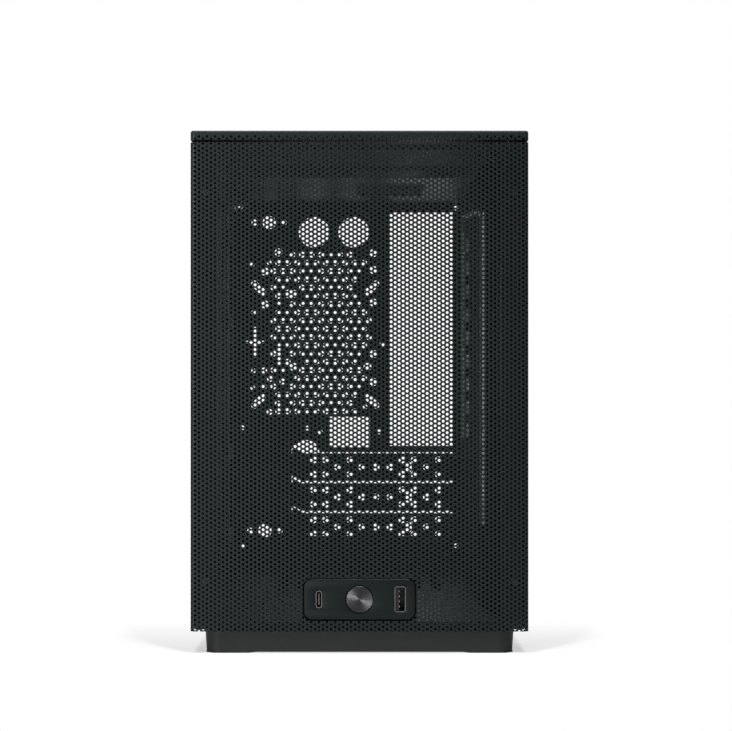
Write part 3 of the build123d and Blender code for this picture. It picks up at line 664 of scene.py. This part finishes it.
def punched_sheet(name, dark, light, origin_y, origin_z):
    """Powder coat with the openings of the mesh cut out by transparency, in y and z."""
    material = powder_coat(name, dark, light, SIDE_ROUGHNESS, SIDE_SHINE)
    _, y, z = split(start_wire(material))
    across = (y - origin_y).math("PINGPONG", COLUMN)
    along = (z - origin_z).math("PINGPONG", MESH_PITCH / 2)

    def reach(u, v):
        """Distance from the middle of an opening, measured square to its nearest side."""
        return v.largest(u * np.cos(np.pi / 6) + v * 0.5)

    nearest = reach(across, along).smallest(reach(COLUMN - across, MESH_PITCH / 2 - along))
    feed(material, Alpha=nearest.math("GREATER_THAN", HOLE_HALF))
    return material


def boxes(lows, highs):
    """Closed boxes between rows of low and high corners."""
    corners = np.array([[x, y, z] for x in (0, 1) for y in (0, 1) for z in (0, 1)])
    sides = np.array([[0, 1, 3, 2], [4, 6, 7, 5], [0, 4, 5, 1], [2, 3, 7, 6],
                      [0, 2, 6, 4], [1, 5, 7, 3]])
    lows, highs = np.atleast_2d(lows).astype(float), np.atleast_2d(highs).astype(float)
    points = lows[:, None, :] + corners * (highs - lows)[:, None, :]
    faces = sides[None] + 8 * np.arange(len(lows))[:, None, None]
    return points.reshape(-1, 3), fans(faces.reshape(-1, 4))


for side, node in (("left", "left_side_panel"), ("right", "right_side_panel")):
    low, high = (np.array(corner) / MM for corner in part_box(node))
    origin_y = low[1] + COLUMN / 2
    count = int((high[1] - origin_y) / COLUMN)
    bar_y = origin_y + COLUMN * (np.arange(count) + 0.5)
    bar_half = (COLUMN - 2 * HOLE_HALF / np.cos(np.pi / 6)) / 2
    bar_lows = stacked(low[0] + BAR_INSET, bar_y - bar_half, low[2] + BAR_INSET)
    bar_highs = stacked(high[0] - BAR_INSET, bar_y + bar_half, high[2] - BAR_INSET)
    add_piece(f"{side}_mesh_bars", boxes(bar_lows, bar_highs), node, "mesh_sheet", [node])
    finish = punched_sheet(f"{side} mesh paint", MESH_DARK, MESH_LIGHT, origin_y, low[2])
    add_piece(f"{side}_mesh_sheet", boxes(low, high), node, "mesh_sheet", [node], finish)

# %% [markdown]
# ## Flat plates with any openings
#
# The rear panel, the slot covers and the socket plate are flat plates with many openings of their
# own. A filled two-dimensional curve does the cutting: its first ring is the outline and the rest
# are openings. The curve is turned into points and triangles at once, so that it can be placed and
# joined with folds and bosses like any other solid.

# %% Plates from rings
ROUND_STEPS = 20


def ellipse_ring(x, z, width, height=None, turn=0.0, steps=ROUND_STEPS):
    """Points round an ellipse or a circle."""
    angle = np.arange(steps) * 2 * np.pi / steps
    u, v = width / 2 * np.cos(angle), (height or width) / 2 * np.sin(angle)
    return np.stack([x + u * np.cos(turn) - v * np.sin(turn),
                     z + u * np.sin(turn) + v * np.cos(turn)], axis=1)


def box_ring(x0, x1, z0, z1):
    """The four corners of a rectangle."""
    return np.array([[x0, z0], [x1, z0], [x1, z1], [x0, z1]], float)


def oblong_ring(x, z, length, width, turn=0.0, corner=None, steps=7):
    """Points round a slot with round ends, or with corners of a given radius."""
    corner = min(length, width) / 2 if corner is None else corner
    inner = np.array([length / 2 - corner, width / 2 - corner])
    quarter = np.linspace(0.0, np.pi / 2, steps)
    signs = [(1, 1), (-1, 1), (-1, -1), (1, -1)]
    arcs = []
    for k, sign in enumerate(signs):
        angle = quarter + k * np.pi / 2
        arcs.append(inner * sign + corner * np.stack([np.cos(angle), np.sin(angle)], axis=1))
    points = np.concatenate(arcs)
    turned = points @ np.array([[np.cos(turn), np.sin(turn)], [-np.sin(turn), np.cos(turn)]])
    return turned + np.array([x, z])


def facing_out(points, triangles):
    """The same solid with every face turned outwards."""
    work = bmesh.new()
    vertices = [work.verts.new(point) for point in points]
    for triangle in triangles:
        work.faces.new([vertices[k] for k in triangle])
    bmesh.ops.recalc_face_normals(work, faces=work.faces)
    work.verts.index_update()
    turned = np.array([[vertex.index for vertex in face.verts] for face in work.faces])
    work.free()
    return points, turned


def cut_plate(rings, thickness, place, bevel=0.0):
    """A plate cut by rings; place(u, v, depth) gives x, y and z for whole arrays.

    The first ring is the outline. bevel chamfers every edge and keeps the plate's size.
    """
    curve = bpy.data.curves.new("plate", "CURVE")
    curve.dimensions = "2D"
    curve.fill_mode = "BOTH"
    curve.extrude = thickness / 2 - bevel
    curve.bevel_depth = bevel
    curve.bevel_resolution = 2 if bevel else 0
    curve.offset = -bevel
    for ring in rings:
        spline = curve.splines.new("POLY")
        spline.points.add(len(ring) - 1)
        spline.points.foreach_set("co", np.column_stack(
            [ring, np.zeros(len(ring)), np.ones(len(ring))]).ravel())
        spline.use_cyclic_u = True
    holder = bpy.data.objects.new("plate", curve)
    mesh = bpy.data.meshes.new_from_object(holder)
    mesh.calc_loop_triangles()
    points = np.empty(3 * len(mesh.vertices))
    mesh.vertices.foreach_get("co", points)
    triangles = np.empty(3 * len(mesh.loop_triangles), dtype=np.int32)
    mesh.loop_triangles.foreach_get("vertices", triangles)
    points, triangles = merged(points.reshape(-1, 3), triangles.reshape(-1, 3))
    bpy.data.objects.remove(holder)
    bpy.data.curves.remove(curve)
    bpy.data.meshes.remove(mesh)
    u, v, depth = points.T
    return facing_out(place(u, v, depth + thickness / 2), triangles)


# %% [markdown]
# ## The rear panel
#
# Seen through the mesh, the rear panel is what gives the portrait its pattern of light: the tall
# socket opening on the right, the staggered round holes of the fan vent with four slanted screw
# slots, two round tube holes above it, and the inlet and the three slot covers below. Places are
# in millimetres from the middle of the case and up from the ground.

# %% Rear panel
rear_low, rear_high = (np.array(corner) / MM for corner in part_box("rear_panel"))
CHASSIS_SHEET = 1.0
REAR_Y = top_high[1]                  # outer face of the rear panel
REAR_FLANGE = 20.0                    # depth of its folded sides
APERTURE = (20.6, 64.0, 96.9, 255.6)  # opening for the board's sockets: left, right, low, high
SLOT_WINDOW = (-46.4, 64.0)
VENT_PITCH = 6.49
VENT_ROW = 5.606
VENT_HOLE = 4.02
VENT_TOP = 226.98
VENT_ROWS = 20
VENT_LEFT, VENT_RIGHT = -58.53, 6.4
VENT_THIN_TOP = (-46.0, -6.0)         # reach of the top row
FAN = (-30.1, 165.8)
FAN_SLOT = (38.5, 12.5, 4.5)          # reach, length and width of its screw slots
FAN_SLOT_LAND = 9.2
LARGE_HOLE = 5.5
LARGE_HOLES = ((9.6, 228.1), (9.6, 216.5), (9.6, 194.3), (9.6, 159.4), (9.6, 140.4),
               (5.4, 150.6), (-55.0, 228.5), (-64.4, 215.5), (-64.4, 193.1), (-44.9, 150.7))
STRAY_HOLES = ((-64.9, 148.2), (-60.9, 142.5), (-52.4, 140.7), (-65.0, 137.2), (-55.6, 125.7),
               (-61.2, 120.0))        # as large as those of the vent, off their rows
SMALL_HOLES = ((-73.0, 220.0), (-61.4, 221.5), (-72.1, 187.7), (-72.1, 148.0), (-72.7, 136.6),
               (3.9, 123.5), (15.3, 166.0), (-35.4, 109.0), (-55.0, 193.5))
SMALL_HOLE = 3.2
ROUND_HOLES = ((LARGE_HOLE, LARGE_HOLES), (VENT_HOLE, STRAY_HOLES), (SMALL_HOLE, SMALL_HOLES))
WIDE_HOLE = (-46.7, 200.3, 8.8, 5.8)  # oblong among the vent's holes: middle, length and width
THINNEST_WEB = 0.4                    # metal left between two holes
SMALL_STEPS = 12                      # sides of a drawn small hole
TOUCH = 0.01                          # places closer than this are one
CROSS = (-71.2, 167.4, 20.8, 13.2, 1.9)   # upright cross: middle, height, width, thickness
UPRIGHT_SLOT = (-54.6, 158.8, 15.4, 2.0)  # slot beside the vent: middle, length and width
TUBE_HOLES = ((-30.9, 242.2), (-3.9, 242.2))
TUBE_HOLE = 20.8
GRIPS = ((-61.4, 248.8), (-64.3, 39.3))   # a finger hole between two small ones
GRIP_HOLE, GRIP_SIDE, GRIP_OFFSET = 9.0, 4.0, 10.0
FRAME_SCREWS = ((-81.0, 259.0), (65.6, 258.6), (-79.6, 28.5), (65.6, 29.1), (-79.6, 109.3))
FRAME_SCREW_HOLE = 3.0
INLET = (-6.6, 106.4, 27.5, 20.7)     # opening for a mains inlet: middle, width and height
INLET_SCREW, INLET_SCREW_OFFSET = 3.2, 20.0
SLOT_PITCH = 20.32
SLOT_MIDDLE = 82.5                    # of the top cover
SLOT_GAP = 1.6
COVER_HALF = (SLOT_PITCH - SLOT_GAP) / 2
SLOT_SEAT = 3.2                       # of the lowest cover on the sheet below it
FINGER = (-36.9, 19.0, 16.6)          # notch above the covers: middle, width and twice its height
FOLD_X = (-47.4, -46.4)
TAB_REACH = 9.5


def near_other(x, z):
    """Whether a vent hole would run into one of the other holes."""
    room = VENT_HOLE / 2 + THINNEST_WEB
    reaches = [(*place, size / 2) for size, places in ROUND_HOLES for place in places]
    reaches.append((*WIDE_HOLE[:2], WIDE_HOLE[2] / 2))
    slot_x, slot_z, length, width = UPRIGHT_SLOT
    reaches += [(slot_x, slot_z + offset, width / 2)
                for offset in np.linspace(width - length, length - width, 5) / 2]
    return any(np.hypot(x - x0, z - z0) < room + reach for x0, z0, reach in reaches)


def cross_ring(x, z, height, width, thickness):
    """Outline of an upright cross, anticlockwise from the right arm."""
    arm, tall, half = width / 2, height / 2, thickness / 2
    quarter = np.array([[arm, half], [half, half], [half, tall]])
    left = quarter[::-1] * [-1, 1]
    upper = np.concatenate([quarter, left])
    return np.concatenate([upper, -upper]) + [x, z]


def vent_rings():
    """Round holes of the fan vent in level rows, clear of the screw slots at its corners."""
    rings = []
    reach = FAN_SLOT[0]
    for row in range(VENT_ROWS):
        z = VENT_TOP - row * VENT_ROW
        x = VENT_LEFT + (VENT_PITCH / 2 if row % 2 else 0.0)
        while x < VENT_RIGHT + TOUCH:
            near_slot = max(abs(abs(x - FAN[0]) - reach), abs(abs(z - FAN[1]) - reach))
            beyond_top = row == 0 and not VENT_THIN_TOP[0] < x < VENT_THIN_TOP[1]
            if near_slot > FAN_SLOT_LAND and not beyond_top and not near_other(x, z):
                rings.append(ellipse_ring(x, z, VENT_HOLE, steps=SMALL_STEPS))
            x += VENT_PITCH
    return rings


def rear_rings():
    """The outline of the rear panel and all its openings."""
    rings = [box_ring(rear_low[0], rear_high[0], rear_low[2], rear_high[2]), box_ring(*APERTURE)]
    rings += vent_rings()
    reach, length, width = FAN_SLOT
    for u in (-1, 1):
        for v in (-1, 1):
            rings.append(oblong_ring(FAN[0] + u * reach, FAN[1] + v * reach, length, width,
                                     u * v * np.pi / 4))
    for size, places in ROUND_HOLES:
        rings += [ellipse_ring(x, z, size, steps=SMALL_STEPS) for x, z in places]
    rings.append(oblong_ring(*WIDE_HOLE))
    rings.append(oblong_ring(*UPRIGHT_SLOT, np.pi / 2))
    rings.append(cross_ring(*CROSS))
    rings += [ellipse_ring(x, z, TUBE_HOLE, steps=36) for x, z in TUBE_HOLES]
    for x, z in GRIPS:
        rings.append(ellipse_ring(x, z, GRIP_HOLE))
        rings += [ellipse_ring(x + offset, z, GRIP_SIDE) for offset in (-GRIP_OFFSET, GRIP_OFFSET)]
    rings += [ellipse_ring(x, z, FRAME_SCREW_HOLE, steps=SMALL_STEPS) for x, z in FRAME_SCREWS]
    x, z, width, height = INLET
    rings.append(box_ring(x - width / 2, x + width / 2, z - height / 2, z + height / 2))
    rings += [ellipse_ring(x + side * INLET_SCREW_OFFSET, z, INLET_SCREW) for side in (-1, 1)]
    top = SLOT_MIDDLE + SLOT_PITCH / 2
    low = SLOT_MIDDLE - 2 * SLOT_PITCH - COVER_HALF + SLOT_SEAT
    finger = ellipse_ring(*FINGER[:1], top, *FINGER[1:], steps=24)
    finger = finger[finger[:, 1] > top - TOUCH]
    window = [[SLOT_WINDOW[0], low], [SLOT_WINDOW[1], low], [SLOT_WINDOW[1], top]]
    rings.append(np.concatenate([window, finger]))
    return rings


def upright_at(y):
    """A place function for plates whose u and v are x and z, with depth towards the back."""
    return lambda u, v, depth: stacked(u, y + depth, v)


rear_inside = REAR_Y - CHASSIS_SHEET
flange_x = ((rear_low[0], rear_low[0] + CHASSIS_SHEET), (rear_high[0] - CHASSIS_SHEET, rear_high[0]))
flanges = [boxes([x0, rear_inside - REAR_FLANGE, rear_low[2]], [x1, rear_inside, rear_high[2]])
           for x0, x1 in flange_x]
fold = boxes([FOLD_X[0], rear_inside, SLOT_MIDDLE - 2.5 * SLOT_PITCH],
             [FOLD_X[1], REAR_Y + TAB_REACH, SLOT_MIDDLE + SLOT_PITCH / 2])
plate = cut_plate(rear_rings(), CHASSIS_SHEET, upright_at(rear_inside))
add_piece("rear_sheet", joined(plate, *flanges, fold), "chassis", "chassis_sheet", ["rear_panel"])

# %% [markdown]
# ## The slot covers
#
# Each cover lies on the inside of the rear panel and has two groups of holes: three rows, the
# upper and lower ones in step and the middle one between them, with one tall hole on the right.
# Its left end folds out to a tab for its screw.

# %% Slot covers
COVER_HOLE = 4.7
COVER_RISE = 4.9
HOLE_STEP = 8.25
GROUPS = (-31.2, 28.9)                # x of the first hole of each group
GROUP_STEPS = (0, 1, 3)               # places of its holes, in steps
MIDDLE_HOLES = (-14.9, 1.6, 11.2, 20.8, 45.5)
TALL_HOLE = (33.1, 7.6)               # x and height
HOLE_SIDES = 14                       # of a drawn hole
COVER_LAP = 3.0                       # of a cover over the right edge of its window
TAB_X = (-46.4, -45.4)
TAB_RISE = 3.4                        # of a cover's edges towards its tab
RISE_X = -39.2                        # where they begin to rise


def cover_rings(low, high, middle):
    """Outline and holes of one cover."""
    right = SLOT_WINDOW[1] + COVER_LAP
    outline = np.array([[RISE_X, low], [right, low], [right, high], [RISE_X, high],
                        [TAB_X[1], high + TAB_RISE], [TAB_X[1], low + TAB_RISE]])
    rings = [outline]
    for start in GROUPS:
        for step in GROUP_STEPS:
            for rise in (-COVER_RISE, COVER_RISE):
                rings.append(ellipse_ring(start + step * HOLE_STEP, middle + rise, COVER_HOLE,
                                          steps=HOLE_SIDES))
    rings += [ellipse_ring(x, middle, COVER_HOLE, steps=HOLE_SIDES) for x in MIDDLE_HOLES]
    rings.append(oblong_ring(TALL_HOLE[0], middle, COVER_HOLE, TALL_HOLE[1]))
    return rings


for number in (1, 2, 3):
    middle = SLOT_MIDDLE - (number - 1) * SLOT_PITCH
    low, high = middle - COVER_HALF, middle + COVER_HALF
    strip = cut_plate(cover_rings(low, high, middle), CHASSIS_SHEET,
                      upright_at(rear_inside - CHASSIS_SHEET))
    tab = boxes([TAB_X[0], rear_inside - CHASSIS_SHEET, low + TAB_RISE],
                [TAB_X[1], REAR_Y + TAB_REACH, high])
    add_piece(f"cover_{number}", joined(strip, tab), "chassis", "chassis_sheet",
              [f"slot_cover_{number}"])

# %% [markdown]
# ## Pressed edges of the board tray
#
# The tray is seen almost along its face and stays dark. Its pressed edges are given a bright steel
# colour, a painted highlight, so that they catch the left lamp. They draw the thin lines to the
# right of the socket opening: the rolled front edge, a bead round the board's place, and a row of
# tie loops.

# %% Tray edges
tray_low = np.array(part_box("motherboard_tray")[0]) / MM
FRONT_EDGE = (2.4, 59.0, 236.0)       # radius, low and high end
BEAD_RADIUS = 1.3
BEAD = ((115.0, 104.0), (115.0, 248.6), (-24.0, 240.4), (-60.0, 235.6))   # y and z of its turns
LOOP_Y, LOOP_TOP, LOOP_PITCH, LOOP_COUNT = 55.5, 226.0, 14.56, 9
LOOP_LENGTH, LOOP_RADIUS = 8.6, 1.5
PROUD = 0.3                           # how far the front edge stands out of the flat faces


def rod(start, end, radius, steps=16):
    """A closed round bar between two points of a plane square to x."""
    start, end = np.array(start, float), np.array(end, float)
    along = (end - start) / np.linalg.norm(end - start)
    across = np.cross(along, [1.0, 0.0, 0.0])
    angle = np.arange(steps) * 2 * np.pi / steps
    ring = radius * (np.outer(np.cos(angle), across) + np.outer(np.sin(angle), [1.0, 0.0, 0.0]))
    here = np.arange(steps)
    beside = (here + 1) % steps
    sides = fans(np.stack([here, beside, beside + steps, here + steps], axis=1))
    caps = fans(np.stack([here[::-1], here + steps]))
    return facing_out(np.concatenate([start + ring, end + ring]), np.concatenate([sides, caps]))


edge_radius, edge_low, edge_high = FRONT_EDGE
tray_x = tray_low[0]
edge_x, edge_y = tray_low[:2] + edge_radius - PROUD
bars = [rod((edge_x, edge_y, edge_low), (edge_x, edge_y, edge_high), edge_radius)]
bars += [rod((tray_x, *start), (tray_x, *end), BEAD_RADIUS) for start, end in zip(BEAD, BEAD[1:])]
for k in range(LOOP_COUNT):
    middle = LOOP_TOP - k * LOOP_PITCH
    bars.append(rod((tray_x, LOOP_Y, middle - LOOP_LENGTH / 2),
                    (tray_x, LOOP_Y, middle + LOOP_LENGTH / 2), LOOP_RADIUS))
# Their bright steel finish is a painted highlight.
add_piece("tray_edges", joined(*bars), "chassis", "chassis_sheet", finish=painted_highlight_steel,
          smooth_below=40.0)

# %% [markdown]
# ## The socket plate
#
# A smooth dark plate with a fine chamfer that catches the light all round, and along each of its
# three openings. A thin ring of bright metal on the chamfer round the outline is a painted
# highlight. Two bosses behind it take the screws of the socket board.

# %% Socket plate
PLATE_THICK = 2.5
PLATE_BEVEL = 0.35
RIM_INSET, RIM_RADIUS = 0.3, 0.24     # of the bright metal line along the chamfer, a painted highlight
RIM_SIDES = 8
SOCKET_OFFSET = 20.9
BUTTON_HOLE = 14.3
USB_A = (5.7, 13.1, 0.7)              # width, height and corner of the wide shell
USB_C = (3.2, 8.94, 1.55)
SHELL_GAP = 0.2
BOSS = (25.9, 3.2)                    # offset and width of the bosses

px, pz = plate_middle
plate_rings = [oblong_ring(px, pz, *(2 * plate_half), corner=PLATE_CORNER, steps=9),
               ellipse_ring(px, pz, BUTTON_HOLE, steps=64)]
for side, (width, height, corner) in ((-1, USB_C), (1, USB_A)):
    plate_rings.append(oblong_ring(px + side * SOCKET_OFFSET, pz, width + 2 * SHELL_GAP,
                                   height + 2 * SHELL_GAP, corner=corner + SHELL_GAP))
socket_plate = cut_plate(plate_rings, PLATE_THICK, upright_at(plate_low[1]), PLATE_BEVEL)
bosses = [cut_plate([ellipse_ring(px + side * BOSS[0], pz, BOSS[1])],
                    plate_high[1] - plate_low[1] - PLATE_THICK, upright_at(plate_low[1] + PLATE_THICK))
          for side in (-1, 1)]
add_piece("socket_plate", joined(socket_plate, *bosses), "chassis", "plate_plastic", ["io_plate"],
          smooth_below=30.0)

# The ring of bright metal round the plate's outline is a painted highlight.
turn = np.arange(RIM_SIDES) * 2 * np.pi / RIM_SIDES
rim_profile = [(RIM_INSET + RIM_RADIUS * np.cos(a), RIM_INSET + RIM_RADIUS * np.sin(a)) for a in turn]
rim, rim_faces = ring_solid(plate_low[[0, 2]], plate_high[[0, 2]], PLATE_CORNER, rim_profile)
rim = upright_at(plate_low[1])(*rim.T)
add_piece("socket_plate_painted_highlight", facing_out(rim, rim_faces), "chassis", "plate_plastic",
          finish=painted_highlight_rim, smooth_below=50.0)

# %% [markdown]
# ## The power button
#
# Its face was turned on a lathe, and the tool left rings finer than a tenth of a millimetre. Each
# ring tilts the light to and from the middle, never round it, which is why a turned face shows
# bright wedges that point at the lamps. The rings are cut here in the profile itself, and the
# profile is spun about the button's axis.

# %% Power button
button_low, button_high = (np.array(corner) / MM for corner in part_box("power_button"))
BUTTON_RADIUS = 6.85
BUTTON_EDGE = 0.15
RINGS = 44
RING_DEPTH = 0.018
SPIN_STEPS = 96
COLLAR = (2.8, 4.0, 8.05)             # front and back behind the socket plate's face, and radius
STEM = (4.0, 2.0)                     # start behind the button's face, and radius


def spun(profile, centre_x, centre_z, steps=SPIN_STEPS):
    """Spins a profile of (radius, y) pairs, from the axis to the axis, about an axis along y."""
    radius, y = np.array(profile).T
    angle = np.arange(steps) * 2 * np.pi / steps
    inner = slice(1, -1)
    ring_x = centre_x + np.outer(radius[inner], np.cos(angle))
    ring_z = centre_z + np.outer(radius[inner], np.sin(angle))
    ring_y = np.repeat(y[inner], steps)
    points = np.column_stack([ring_x.ravel(), ring_y, ring_z.ravel()])
    poles = np.array([[centre_x, y[0], centre_z], [centre_x, y[-1], centre_z]])
    rows = len(radius) - 2
    i, j = np.meshgrid(np.arange(rows - 1), np.arange(steps), indexing="ij")
    here, beside = i * steps + j, i * steps + (j + 1) % steps
    quads = np.stack([here, beside, beside + steps, here + steps], axis=-1).reshape(-1, 4)
    k = np.arange(steps)
    first = np.stack([np.full(steps, len(points)), (k + 1) % steps, k], axis=1)
    last_row = (rows - 1) * steps
    last = np.stack([np.full(steps, len(points) + 1), last_row + k, last_row + (k + 1) % steps],
                    axis=1)
    return np.concatenate([points, poles]), np.concatenate([first, fans(quads), last])


face_y = button_low[1]
groove_radius = np.linspace(0.0, BUTTON_RADIUS - BUTTON_EDGE, 2 * RINGS + 1)
groove_y = face_y + RING_DEPTH * (np.arange(2 * RINGS + 1) % 2)
profile = list(zip(groove_radius, groove_y))
profile += [(BUTTON_RADIUS, face_y + BUTTON_EDGE),
            (BUTTON_RADIUS, plate_low[1] + COLLAR[0]), (COLLAR[2], plate_low[1] + COLLAR[0]),
            (COLLAR[2], plate_low[1] + COLLAR[1]), (STEM[1], plate_low[1] + COLLAR[1]),
            (STEM[1], button_high[1]), (0.0, button_high[1])]
cap = facing_out(*spun(profile, px, pz))
add_piece("button_cap", cap, "power_button", "button_metal", ["power_button"])

# %% [markdown]
# ## Floor, backdrop and light
#
# The portrait stands on a white sweep. To the camera the floor is plain white, except beside and
# under the case, where the white gives way to the lit floor itself and lets its shadow show. A
# duller floor bounces the light back, so that the foot isn't flooded. The world is white to the
# camera and to reflections that look to the back, and a soft grey to everything that it lights.

# %% Floor and world
FLOOR_SIZE = 6000.0
FLOOR_WHITE = 0.55              # share of plain white in the floor at the foot of the case
FLOOR_SEEN, FLOOR_BOUNCE = 0.9, 0.75   # grey of the floor to the camera and of its bounced light
SHADOW_FADE = (-150.0, -35.0)   # y where the shadow begins to fade, and where it has gone
SHADOW_FRONT = (-176.0, -184.0)    # the same ahead of the case
SHADOW_REACH = (105.0, 136.0)   # the same to each side
FOOT_HALF, FOOT_FRONT, FOOT_BACK = (78.0, 79.0), (-154.0, -155.0), (156.0, 157.0)   # under the case
WORLD_LIGHT = 0.08              # strength of the world as a light
BACKDROP_EDGE = (0.2, 0.4)      # how far towards the back a reflection must look to meet white
WHITE = (1.0, 1.0, 1.0, 1.0)


def ray_share(tree, kind):
    """1 for rays of one kind and 0 for all others."""
    rays = tree.nodes.new("ShaderNodeLightPath")
    return Wire(tree, rays.outputs[f"Is {kind} Ray"])


def show(wire, kind):
    """Connects a shader to the output of its tree."""
    output = wire.tree.nodes.new(kind)
    wire.tree.links.new(wire.socket, output.inputs["Surface"])


floor_mesh = bpy.data.meshes.new("floor")
floor_low, floor_high = -FLOOR_SIZE / 2, FLOOR_SIZE / 2
corners = stacked([floor_low, floor_high, floor_high, floor_low],
                  [floor_low, floor_low, floor_high, floor_high], 0.0)
floor_mesh.from_pydata((corners * MM).tolist(), [], [(0, 1, 2, 3)])
floor = bpy.data.objects.new("floor", floor_mesh)
bpy.context.scene.collection.objects.link(floor)

floor_paint = bpy.data.materials.new("floor sweep")
floor_paint.use_nodes = True
floor_paint.node_tree.nodes.clear()
floor_mesh.materials.append(floor_paint)
x, y, _ = split(start_wire(floor_paint))
far = y.between(*SHADOW_FADE).largest(y.between(*SHADOW_FRONT))
far = far.largest(x.math("ABSOLUTE").between(*SHADOW_REACH))
beside = x.math("ABSOLUTE").between(*FOOT_HALF)
clear = beside.largest(y.between(*FOOT_FRONT)).largest(y.between(*FOOT_BACK))
whiteness = (far * (1.0 - FLOOR_WHITE) + FLOOR_WHITE) * clear
seen = ray_share(floor_paint.node_tree, "Camera")
bounce, lit = (x.node("ShaderNodeBsdfDiffuse", {}, {"Color": (grey, grey, grey, 1.0)})
               for grey in (FLOOR_BOUNCE, FLOOR_SEEN))
white = x.node("ShaderNodeEmission", {}, {"Color": WHITE, "Strength": 1.0})
lit_floor = x.node("ShaderNodeMixShader", {}, {0: seen, 1: bounce, 2: lit})
show(x.node("ShaderNodeMixShader", {}, {0: whiteness * seen, 1: lit_floor, 2: white}),
     "ShaderNodeOutputMaterial")

world = bpy.data.worlds.new("sweep")
world.use_nodes = True
world.node_tree.nodes.clear()
direction = Wire(world.node_tree, world.node_tree.nodes.new("ShaderNodeTexCoord").outputs["Generated"])
_, towards_back, _ = parts(direction)
behind = ray_share(world.node_tree, "Glossy") * towards_back.between(*BACKDROP_EDGE)
seen = ray_share(world.node_tree, "Camera").largest(behind)
grey, plain = (seen.node("ShaderNodeBackground", {}, {"Color": WHITE, "Strength": strength})
               for strength in (WORLD_LIGHT, 1.0))
show(seen.node("ShaderNodeMixShader", {}, {0: seen, 1: grey, 2: plain}), "ShaderNodeOutputWorld")
bpy.context.scene.world = world

# %% [markdown]
# Two strips hang high in front, 24 degrees to each side. Their shadows are the two short wedges
# beside the foot of the case. Two boxes stand low and further out, the left one larger, as the
# left half of the mesh is the lighter one. They give the button its bright wedges.

# %% Soft boxes
STRIP_AZIMUTH, STRIP_HEIGHT, STRIP_REACH = 24.0, 64.0, 2.1
STRIP_SIZE, STRIP_POWER = (0.14, 0.9), 22.0
KEY_AZIMUTH, KEY_HEIGHT, KEY_REACH = 28.0, 8.0, 2.45
LEFT_KEY_SIZE, LEFT_KEY_POWER = (0.3, 0.8), 31.0
RIGHT_KEY_SIZE, RIGHT_KEY_POWER = (0.12, 0.8), 2.5


def soft_box(name, azimuth, height, reach, size, power):
    """A rectangular area light turned to the case.

    It hangs azimuth degrees to the right of the camera's side and height degrees above the
    floor, reach metres away, and is size metres wide and tall.
    """
    data = bpy.data.lights.new(name, "AREA")
    data.shape = "RECTANGLE"
    data.size, data.size_y = size
    data.energy = power
    light = bpy.data.objects.new(name, data)
    across, up = np.radians(azimuth), np.radians(height)
    light.location = (reach * np.cos(up) * np.sin(across), -reach * np.cos(up) * np.cos(across),
                      reach * np.sin(up))
    light.rotation_euler = (np.pi / 2 - up, 0.0, across)
    bpy.context.scene.collection.objects.link(light)


soft_box("left strip", -STRIP_AZIMUTH, STRIP_HEIGHT, STRIP_REACH, STRIP_SIZE, STRIP_POWER)
soft_box("right strip", STRIP_AZIMUTH, STRIP_HEIGHT, STRIP_REACH, STRIP_SIZE, STRIP_POWER)
soft_box("left key", -KEY_AZIMUTH, KEY_HEIGHT, KEY_REACH, LEFT_KEY_SIZE, LEFT_KEY_POWER)
soft_box("right key", KEY_AZIMUTH, KEY_HEIGHT, KEY_REACH, RIGHT_KEY_SIZE, RIGHT_KEY_POWER)
